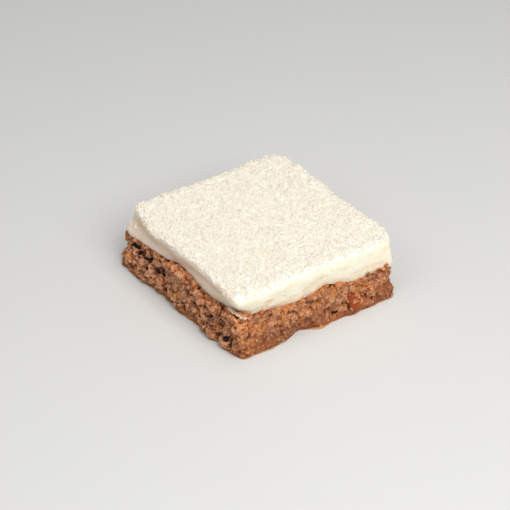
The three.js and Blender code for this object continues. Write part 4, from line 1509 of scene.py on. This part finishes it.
@dataclass(frozen=True)
class Syrup:
    """The thin line of syrup that has run out along the foot."""

    step: float = 0.5  # distance between two points of the line
    evening: int = 2
    sway: float = 7.0  # length over which its width changes
    widest: float = 0.6
    narrowest: float = 0.2
    flatness: float = 0.4  # its height as a share of its width
    pool: float = 0.45  # how much wider it is where it gathered
    pools: tuple[Bell, ...] = (
        Bell((-23.0, -39.5, 0.0), (8.0, 4.0, 1.0)),
        Bell((4.0, -39.5, 0.0), (8.0, 4.0, 1.0)),
        Bell((-38.5, 6.0, 0.0), (4.0, 9.0, 1.0)),
        Bell((-38.0, -18.0, 0.0), (4.0, 7.0, 1.0)),
    )

    def build(self, finish: bpy.types.Material) -> bpy.types.Object:
        """Draws a flat bead of syrup along the outline of the sponge's underside.

        Args:
            finish: The syrup's material.

        Returns:
            The finished piece.
        """
        piece = copy_of(Solid.SPONGE, "amber_syrup")
        board = ShapeBoard("syrup_line")
        normal = board.add("GeometryNodeInputNormal").outputs["Normal"]
        above = board.math("GREATER_THAN", board.part(normal, "Z"), -0.9)
        high = board.math("GREATER_THAN", board.part(board.place(), "Z"), 0.05)
        sole = board.add("GeometryNodeDeleteGeometry", {"domain": "FACE"}, Geometry=board.shape,
                         Selection=board.math("MAXIMUM", above, high))
        neighbours = board.add("GeometryNodeInputMeshEdgeNeighbors").outputs["Face Count"]
        outline = board.add("GeometryNodeMeshToCurve", Mesh=sole.outputs["Geometry"],
                            Selection=board.math("LESS_THAN", neighbours, 1.5))
        even = board.add("GeometryNodeResampleCurve", {"mode": "LENGTH"}, Curve=outline.outputs["Curve"],
                         Length=self.step * MM)
        here = board.add("GeometryNodeInputPosition").outputs["Position"]
        calmer = board.add("GeometryNodeBlurAttribute", {"data_type": "FLOAT_VECTOR"}, Value=here,
                           Iterations=self.evening)
        drawn = board.add("GeometryNodeSetPosition", Geometry=even.outputs["Curve"],
                          Position=calmer.outputs["Value"])
        width = board.ramp(board.noise(board.place(), self.sway, 1.0, 8).outputs["Fac"], 0.4, 0.62,
                           self.narrowest * MM, self.widest * MM)
        for pool in self.pools:
            offset = board.vector("SUBTRACT", board.place(), pool.at)
            away = board.vector("LENGTH", board.vector("DIVIDE", offset, pool.reach))
            width = board.math("ADD", width, board.ramp(away, 1.0, 0.2, 0.0, self.pool * MM))
        sized = board.add("GeometryNodeSetCurveRadius", Curve=drawn.outputs["Geometry"], Radius=width)
        profile = board.add("GeometryNodeCurvePrimitiveCircle", Resolution=10, Radius=1.0)
        tube = board.add("GeometryNodeCurveToMesh", Curve=sized.outputs["Curve"],
                         Profile_Curve=profile.outputs["Curve"])
        if "Scale" in tube.inputs:
            board.feed(tube.inputs["Scale"], board.add("GeometryNodeInputRadius").outputs["Radius"])
        board.shape = tube.outputs["Mesh"]
        flat = board.vector("MULTIPLY", here, (1.0, 1.0, self.flatness))
        flattened = board.add("GeometryNodeSetPosition", Geometry=board.shape, Position=flat)
        board.shape = flattened.outputs["Geometry"]
        board.keep_above_ground()
        board.run_on(piece)
        take(piece)
        bpy.ops.object.mode_set(mode="EDIT")
        bpy.ops.mesh.select_all(action="SELECT")
        bpy.ops.mesh.normals_make_consistent(inside=False)
        bpy.ops.object.mode_set(mode="OBJECT")
        bpy.ops.object.shade_smooth()
        return settle(piece, finish)


# ---------------------------------------------------------------------------------------------
# Custard
# ---------------------------------------------------------------------------------------------


@dataclass
class Custard:
    """The set custard: smooth sides, a wavy foot and a top that carries the coconut."""

    voxel: float = 0.5
    rounding: int = 9
    foot_drop: float = 0.35
    wave: float = 5.5
    wave_relief: float = 0.22
    dimple: float = 1.5
    dimple_relief: float = 0.1
    bed_relief: float = 0.15
    crease_depth: float = 0.3
    front_from: tuple[float, float] = (-32.0, -35.0)  # Y over which the -Y side begins
    left_from: tuple[float, float] = (-32.0, -34.5)  # X over which the -X side begins
    bed_slope: float = 0.42  # the coconut lies where the normal's Z is more than this
    bed_slope_front: float = 0.38  # how much more at the -Y side
    bed_slope_left: float = 0.06  # how much more at the -X side
    bare_corner: float = 0.15  # how much more at the bare side of the left corner
    bed_from: float = 20.0  # it never lies lower than this
    painted_shade_left_from: tuple[float, float] = (28.0, 25.8)  # Z over which the painted shade of the -X side begins
    seep: float = 0.42  # share of syrup at the foot of the -Y side
    seep_height: float = 4.6  # how far up it has soaked
    hem: tuple[float, float, float] = (0.0, 0.35, -1.0)  # closes the foot of the -Y side
    tuck: tuple[float, float, float] = (2.4, 0.0, 0.0)  # draws the foot in at the front corner
    tucks: tuple[Bell, ...] = (Bell((-29.5, -35.5, 17.4), (4.6, 4.6, 3.8)),)
    drape: tuple[float, float, float] = (1.5, -0.3, -3.2)  # where it has sagged over the right corner
    drapes: tuple[Bell, ...] = (Bell((39.2, -35.8, 16.0), (3.6, 4.4, 3.2)),)
    stains: tuple[Bell, ...] = (
        Bell((-19.6, -36.8, 20.2), (2.4, 4, 1.4), 0.8),
        Bell((-2.1, -36.8, 19.2), (1.6, 4, 0.7), 0.9),
        Bell((5.3, -36.8, 21.6), (2.0, 4, 0.8), 0.7),
        Bell((10.4, -36.8, 23.6), (1.6, 4, 0.7), 0.7),
        Bell((12.7, -36.8, 25.6), (1.6, 4, 0.6), 0.5),
        Bell((16.0, -36.8, 27.0), (1.2, 4, 0.6), 0.4),
        Bell((-30.0, -36.0, 17.6), (4.0, 4, 1.2), 0.7),
        Bell((28.0, -37.0, 17.6), (9.0, 4, 1.0), 0.35),
    )
    # Bells of the crease below the coconut lip: the wall sinks there and painted shadow is laid in.
    creases: tuple[Bell, ...] = (
        Bell((-37, 30, 23.4), (5, 5, 2.2), 0.7),
        Bell((-36, 20, 23.6), (5, 6, 2.2), 0.8),
        Bell((-36, 8, 23.4), (5, 6, 2.2), 0.7),
        Bell((-35, -6, 23.4), (5, 7, 2.2), 0.6),
        Bell((-35, -20, 23.2), (5, 7, 2.2), 0.6),
    )

    def build(self, finish: bpy.types.Material) -> bpy.types.Object:
        """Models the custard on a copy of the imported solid.

        Args:
            finish: Its material.

        Returns:
            The finished piece.
        """
        piece = copy_of(Solid.CUSTARD, "custard_body")
        remesh = piece.modifiers.new("even_mesh", "REMESH")
        remesh.mode = "VOXEL"
        remesh.voxel_size = self.voxel * MM
        smooth = piece.modifiers.new("soft_skin", "SMOOTH")
        smooth.factor = 0.6
        smooth.iterations = self.rounding
        apply_modifiers(piece)
        self._mark(piece)
        self._raise_skin(piece)
        take(piece)
        bpy.ops.object.shade_smooth()
        return settle(piece, finish, stands_for=Solid.CUSTARD)

    def _mark(self, piece: bpy.types.Object) -> None:
        """Works out where the coconut lies, where the custard is stained or creased, and where shade is
        painted on it.

        Args:
            piece: The remeshed copy.
        """
        points, normals = points_of(piece), normals_of(piece)
        near_front = smoothstep(*self.front_from, points[:, 1])
        near_left = smoothstep(*self.left_from, points[:, 0])
        front = near_front * (1.0 - near_left * smoothstep(0.4, 0.75, -normals[:, 0]))
        left = near_left * (1.0 - front)
        left_corner = smoothstep(25.0, 33.0, points[:, 1]) * left
        least = (self.bed_slope + self.bed_slope_front * front + self.bed_slope_left * left
                 + self.bare_corner * left_corner)
        ragged = (0.2 * noise_at(points, 2.2, 3) + 0.12 * noise_at(points, 0.9, 5)) * (1.0 + left)
        fade = 0.12 + 0.12 * front
        bed = smoothstep(-1.0, 1.0, (normals[:, 2] + ragged - least) / fade)
        bed *= points[:, 2] > self.bed_from
        store(piece, Mark.BED, bed)
        store(piece, Mark.EDGE, bed * smoothstep(0.93, 0.75, normals[:, 2]) * (1.0 - 0.8 * front))
        above_foot = points[:, 2] - self._foot_at(points, near_front)
        soak = self.seep * front * smoothstep(self.seep_height, 0.0, above_foot)
        uneven = np.clip(1.0 + noise_at(points, 2.4, 9) + 0.8 * noise_at(points, 0.9, 13), 0.0, 2.2)
        store(piece, Mark.HEM, near_front * smoothstep(2.4, 0.2, above_foot) * uneven)
        store(piece, Mark.STAIN, np.clip(bells_at(points, self.stains) + soak, 0.0, 1.0))
        # Painted shadow in the crease below the lip; the same mark also sinks the wall.
        store(piece, Mark.CREASE, np.clip(bells_at(points, self.creases), 0.0, 1.0))
        # Painted shade on the -X side, from a height downwards.
        store(piece, Mark.PAINTED_SHADE_LEFT, left * smoothstep(*self.painted_shade_left_from, points[:, 2]))
        store(piece, Mark.TUCK, bells_at(points, self.tucks))
        store(piece, Mark.DRAPE, bells_at(points, self.drapes))

    @staticmethod
    def _foot_at(points: np.ndarray, front: np.ndarray) -> np.ndarray:
        """Height of the custard's foot on its -Y side, at each point's X.

        Args:
            points: Places in millimetres, one row each.
            front: 1 for points on the -Y side.

        Returns:
            One height for each point.
        """
        stations = np.arange(-40.0, 41.0)
        shown = points[front > 0.5]
        lowest = [shown[np.abs(shown[:, 0] - station) < 1.5, 2].min(initial=18.0) for station in stations]
        return np.interp(points[:, 0], stations, lowest)

    def _raise_skin(self, piece: bpy.types.Object) -> None:
        """Gives the sides slight waves and dimples, the top a bumpy bed, and closes the foot.

        Args:
            piece: The copy with its marks.
        """
        board = ShapeBoard("custard_relief")
        place = board.place()

        def swing(size: float, height: float, seed: int) -> bpy.types.NodeSocket:
            """Noise of a size, scaled to a height to either side."""
            value = board.math("SUBTRACT", board.noise(place, size, 1.0, seed).outputs["Fac"], 0.5)
            return board.math("MULTIPLY", value, 4.0 * height)

        bed = board.math("MULTIPLY", swing(1.3, self.bed_relief, 3), board.mark(Mark.BED))
        sunk = board.math("MULTIPLY", board.math("ADD", board.mark(Mark.STAIN), board.mark(Mark.CREASE)),
                          -self.crease_depth)
        relief = board.total(swing(self.wave, self.wave_relief, 1), swing(self.dimple, self.dimple_relief, 2),
                             bed, sunk)
        normal = board.add("GeometryNodeInputNormal").outputs["Normal"]
        facing_down = board.ramp(board.part(normal, "Z"), -0.2, -0.6)
        drop = board.add("ShaderNodeCombineXYZ", Z=board.math("MULTIPLY", facing_down, -self.foot_drop))
        board.shift(board.vector("ADD", board.vector("SCALE", normal, scale=relief), drop.outputs["Vector"]))
        board.pull(Mark.TUCK, self.tuck)
        board.pull(Mark.HEM, self.hem)
        board.pull(Mark.DRAPE, self.drape)
        board.run_on(piece)


@dataclass
class Coconut:
    """The bed of fine coconut: short grains, thin slivers and a few long shreds."""

    def _shapes(self, name: str, count: int, length: float, width: float, thickness: float,
                seed: int, stations: tuple[tuple[float, float], ...] | None = None) -> list[bpy.types.Object]:
        """Models a few shavings of one kind.

        Args:
            name: What their names start with.
            count: How many to make.
            length: Usual length.
            width: Usual width.
            thickness: Usual thickness.
            seed: Picks their shapes.
            stations: Places and girths along each one, if not the usual ones.

        Returns:
            The shavings.
        """
        draw = random.Random(seed)
        extra = {} if stations is None else {"stations": stations}
        shapes = []
        for index in range(count):
            sliver = Sliver(length * draw.uniform(0.75, 1.25), width * draw.uniform(0.8, 1.2),
                            thickness * draw.uniform(0.8, 1.2), draw.uniform(-0.1, 0.5), **extra)
            shapes.append(sliver.build(f"{name}_{index}"))
        return shapes

    def build(self, custard: bpy.types.Object, finish: bpy.types.Material) -> list[bpy.types.Object]:
        """Lays the coconut over the custard's top and edges.

        Args:
            custard: The finished custard.
            finish: The coconut's material.

        Returns:
            The grains, the slivers, the shreds and the ones that stand out along the rim.
        """
        beds = (
            (Scatter("coconut_grains", 0.5, 2.6, Mark.BED, -0.02, (0.7, 1.25), 0.08, 51),
             self._shapes("grain_shape", 4, 1.2, 0.85, 0.2, 1)),
            (Scatter("coconut_slivers", 0.8, 1.0, Mark.BED, 0.04, (0.7, 1.25), 0.09, 61),
             self._shapes("sliver_shape", 5, 1.7, 0.55, 0.2, 2)),
            (Scatter("coconut_shreds", 2.4, 0.12, Mark.BED, 0.1, (0.8, 1.3), 0.14, 71),
             self._shapes("shred_shape", 4, 2.3, 0.45, 0.26, 3,
                          ((-0.5, 0.4), (-0.25, 0.9), (0.0, 1.0), (0.25, 0.85), (0.5, 0.35)))),
            (Scatter("coconut_rim", 1.0, 0.8, Mark.EDGE, 0.36, (0.6, 1.3), 0.8, 81),
             self._shapes("rim_shape", 5, 1.5, 0.7, 0.5, 4)),
        )
        return [settle(scatter.build(custard, shapes), finish) for scatter, shapes in beds]


# ---------------------------------------------------------------------------------------------
# Camera, floor and light
# ---------------------------------------------------------------------------------------------


@dataclass(frozen=True)
class SoftBox:
    """A square soft light that looks at the cake."""

    name: str
    azimuth: float  # degrees; 0 is in front of the -Y side, 90 in front of the +X side
    elevation: float
    distance: float  # metres
    side: float  # metres
    watts: float
    tint: tuple[float, float, float] = (1.0, 1.0, 1.0)


@dataclass
class Studio:
    """A pale floor, soft light and the camera."""

    eye: tuple[float, float, float] = (-336.5, -501.3, 467.0)
    aim: tuple[float, float, float] = (-2.5, -2.4, 14.0)
    lens: float = 134.26
    sensor: float = 36.0
    floor_side: float = 3.0  # metres
    floor_tone: Colour = srgb(204, 204, 203)
    sky: float = 0.3
    boxes: tuple[SoftBox, ...] = (
        SoftBox("key", -2.0, 48.0, 0.8, 0.5, 4.8, (1.0, 0.99, 0.97)),
        SoftBox("top", 20.0, 82.0, 0.9, 0.6, 3.1, (1.0, 0.985, 0.95)),
        SoftBox("left", -84.0, 50.0, 0.9, 0.4, 1.15),
    )

    def build(self) -> None:
        """Builds the floor, the lights, the sky and the camera."""
        self._lay_floor()
        for box in self.boxes:
            self._hang(box)
        self._light_sky()
        self._place_camera()
        bpy.context.scene.view_settings.view_transform = "Standard"

    def _lay_floor(self) -> None:
        """Lays the floor that the cake rests on."""
        deselect_all()
        bpy.ops.mesh.primitive_grid_add(x_subdivisions=4, y_subdivisions=4, size=self.floor_side)
        floor = bpy.context.object
        floor.name = "studio_floor"
        board = FinishBoard("studio_paper", Roughness=0.6, Specular_IOR_Level=0.3)
        soft = board.noise(board.place, 60.0).outputs["Fac"]
        board.dress("Base Color", board.mix(board.ramp(soft, 0.3, 0.7, 0.0, 0.1), self.floor_tone,
                                            srgb(196, 196, 196)))
        floor.data.materials.append(board.material)

    def _hang(self, box: SoftBox) -> None:
        """Hangs one soft light."""
        across, up = math.radians(box.azimuth), math.radians(box.elevation)
        away = Vector((math.sin(across) * math.cos(up), -math.cos(across) * math.cos(up), math.sin(up)))
        lamp = bpy.data.lights.new(box.name, "AREA")
        lamp.size = box.side
        lamp.energy = box.watts
        lamp.color = box.tint
        holder = bpy.data.objects.new(box.name, lamp)
        holder.location = away * box.distance
        holder.rotation_euler = away.to_track_quat("Z", "Y").to_euler()
        bpy.context.scene.collection.objects.link(holder)

    def _light_sky(self) -> None:
        """Surrounds the scene with an even white glow."""
        world = bpy.data.worlds.new("studio_glow")
        world.use_nodes = True
        glow = world.node_tree.nodes["Background"]
        glow.inputs["Color"].default_value = (1.0, 1.0, 1.0, 1.0)
        glow.inputs["Strength"].default_value = self.sky
        bpy.context.scene.world = world

    def _place_camera(self) -> None:
        """Sets the camera at the photograph's angle and makes it the scene's own."""
        eye, aim = Vector(self.eye) * MM, Vector(self.aim) * MM
        data = bpy.data.cameras.new("camera")
        data.lens = self.lens
        data.sensor_width = self.sensor
        camera = bpy.data.objects.new("camera", data)
        camera.location = eye
        camera.rotation_euler = (eye - aim).to_track_quat("Z", "Y").to_euler()
        bpy.context.scene.collection.objects.link(camera)
        bpy.context.scene.camera = camera


def main() -> None:
    """Builds the cake and its studio, piece by piece."""
    logging.basicConfig(level=logging.INFO, format="%(name)s: %(message)s")
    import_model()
    effects = SharedEffects()
    Studio().build()

    sponge = Sponge().build(SpongeFinish().build(effects))
    pieces = SpongePieces()
    crumb = PieceFinish("loose_crumb", srgb(120, 70, 44), srgb(206, 152, 112), roughness=0.7, subsurface=0.05)
    pieces.build_crumbs(sponge, crumb.build(effects))
    nut = PieceFinish("chopped_nut", srgb(164, 106, 66), srgb(214, 164, 118), roughness=0.5, subsurface=0.15)
    pieces.build_nuts(sponge, nut.build(effects))
    skin = PieceFinish("nut_skin", srgb(48, 26, 16), srgb(104, 56, 32), roughness=0.55, subsurface=0.0)
    pieces.build_skins(sponge, skin.build(effects))
    peel = PieceFinish("candied_peel", srgb(156, 64, 6), srgb(176, 78, 11), roughness=0.28, subsurface=0.08,
                       grain=0.9, shade=srgb(130, 84, 60))
    Fruit().build(peel.build(effects))
    toasted = PieceFinish("toasted_crumb", srgb(190, 112, 56), srgb(214, 140, 80), roughness=0.6,
                          subsurface=0.05, grain=0.6, bump=0.12, shade=srgb(150, 120, 100))
    TornCrumbs().build(toasted.build(effects))
    fibre = PieceFinish("brown_fibre", srgb(96, 60, 34), srgb(132, 88, 52), roughness=0.6, subsurface=0.0)
    Fibre().build(fibre.build(effects))
    Syrup().build(SyrupFinish().build(effects))

    custard_finish = CustardFinish().build(effects)
    custard = Custard().build(custard_finish)
    smear = PieceFinish("custard_smear", srgb(222, 200, 176), srgb(238, 222, 202), roughness=0.3,
                        subsurface=0.2, grain=0.5, bump=0.06, shade=srgb(200, 176, 150))
    Scraps().build(smear.build(effects))
    speck = PieceFinish("dark_speck", srgb(128, 94, 66), srgb(144, 106, 76), roughness=0.7, subsurface=0.0)
    Specks().build(speck.build(effects))
    flake = PieceFinish("fine_coconut", srgb(251, 242, 226), srgb(254, 248, 236), roughness=0.6,
                        subsurface=0.0, grain=0.5, bump=0.02, shade=srgb(250, 245, 239))
    Coconut().build(custard, flake.build(effects))


if __name__ == "__main__":
    main()
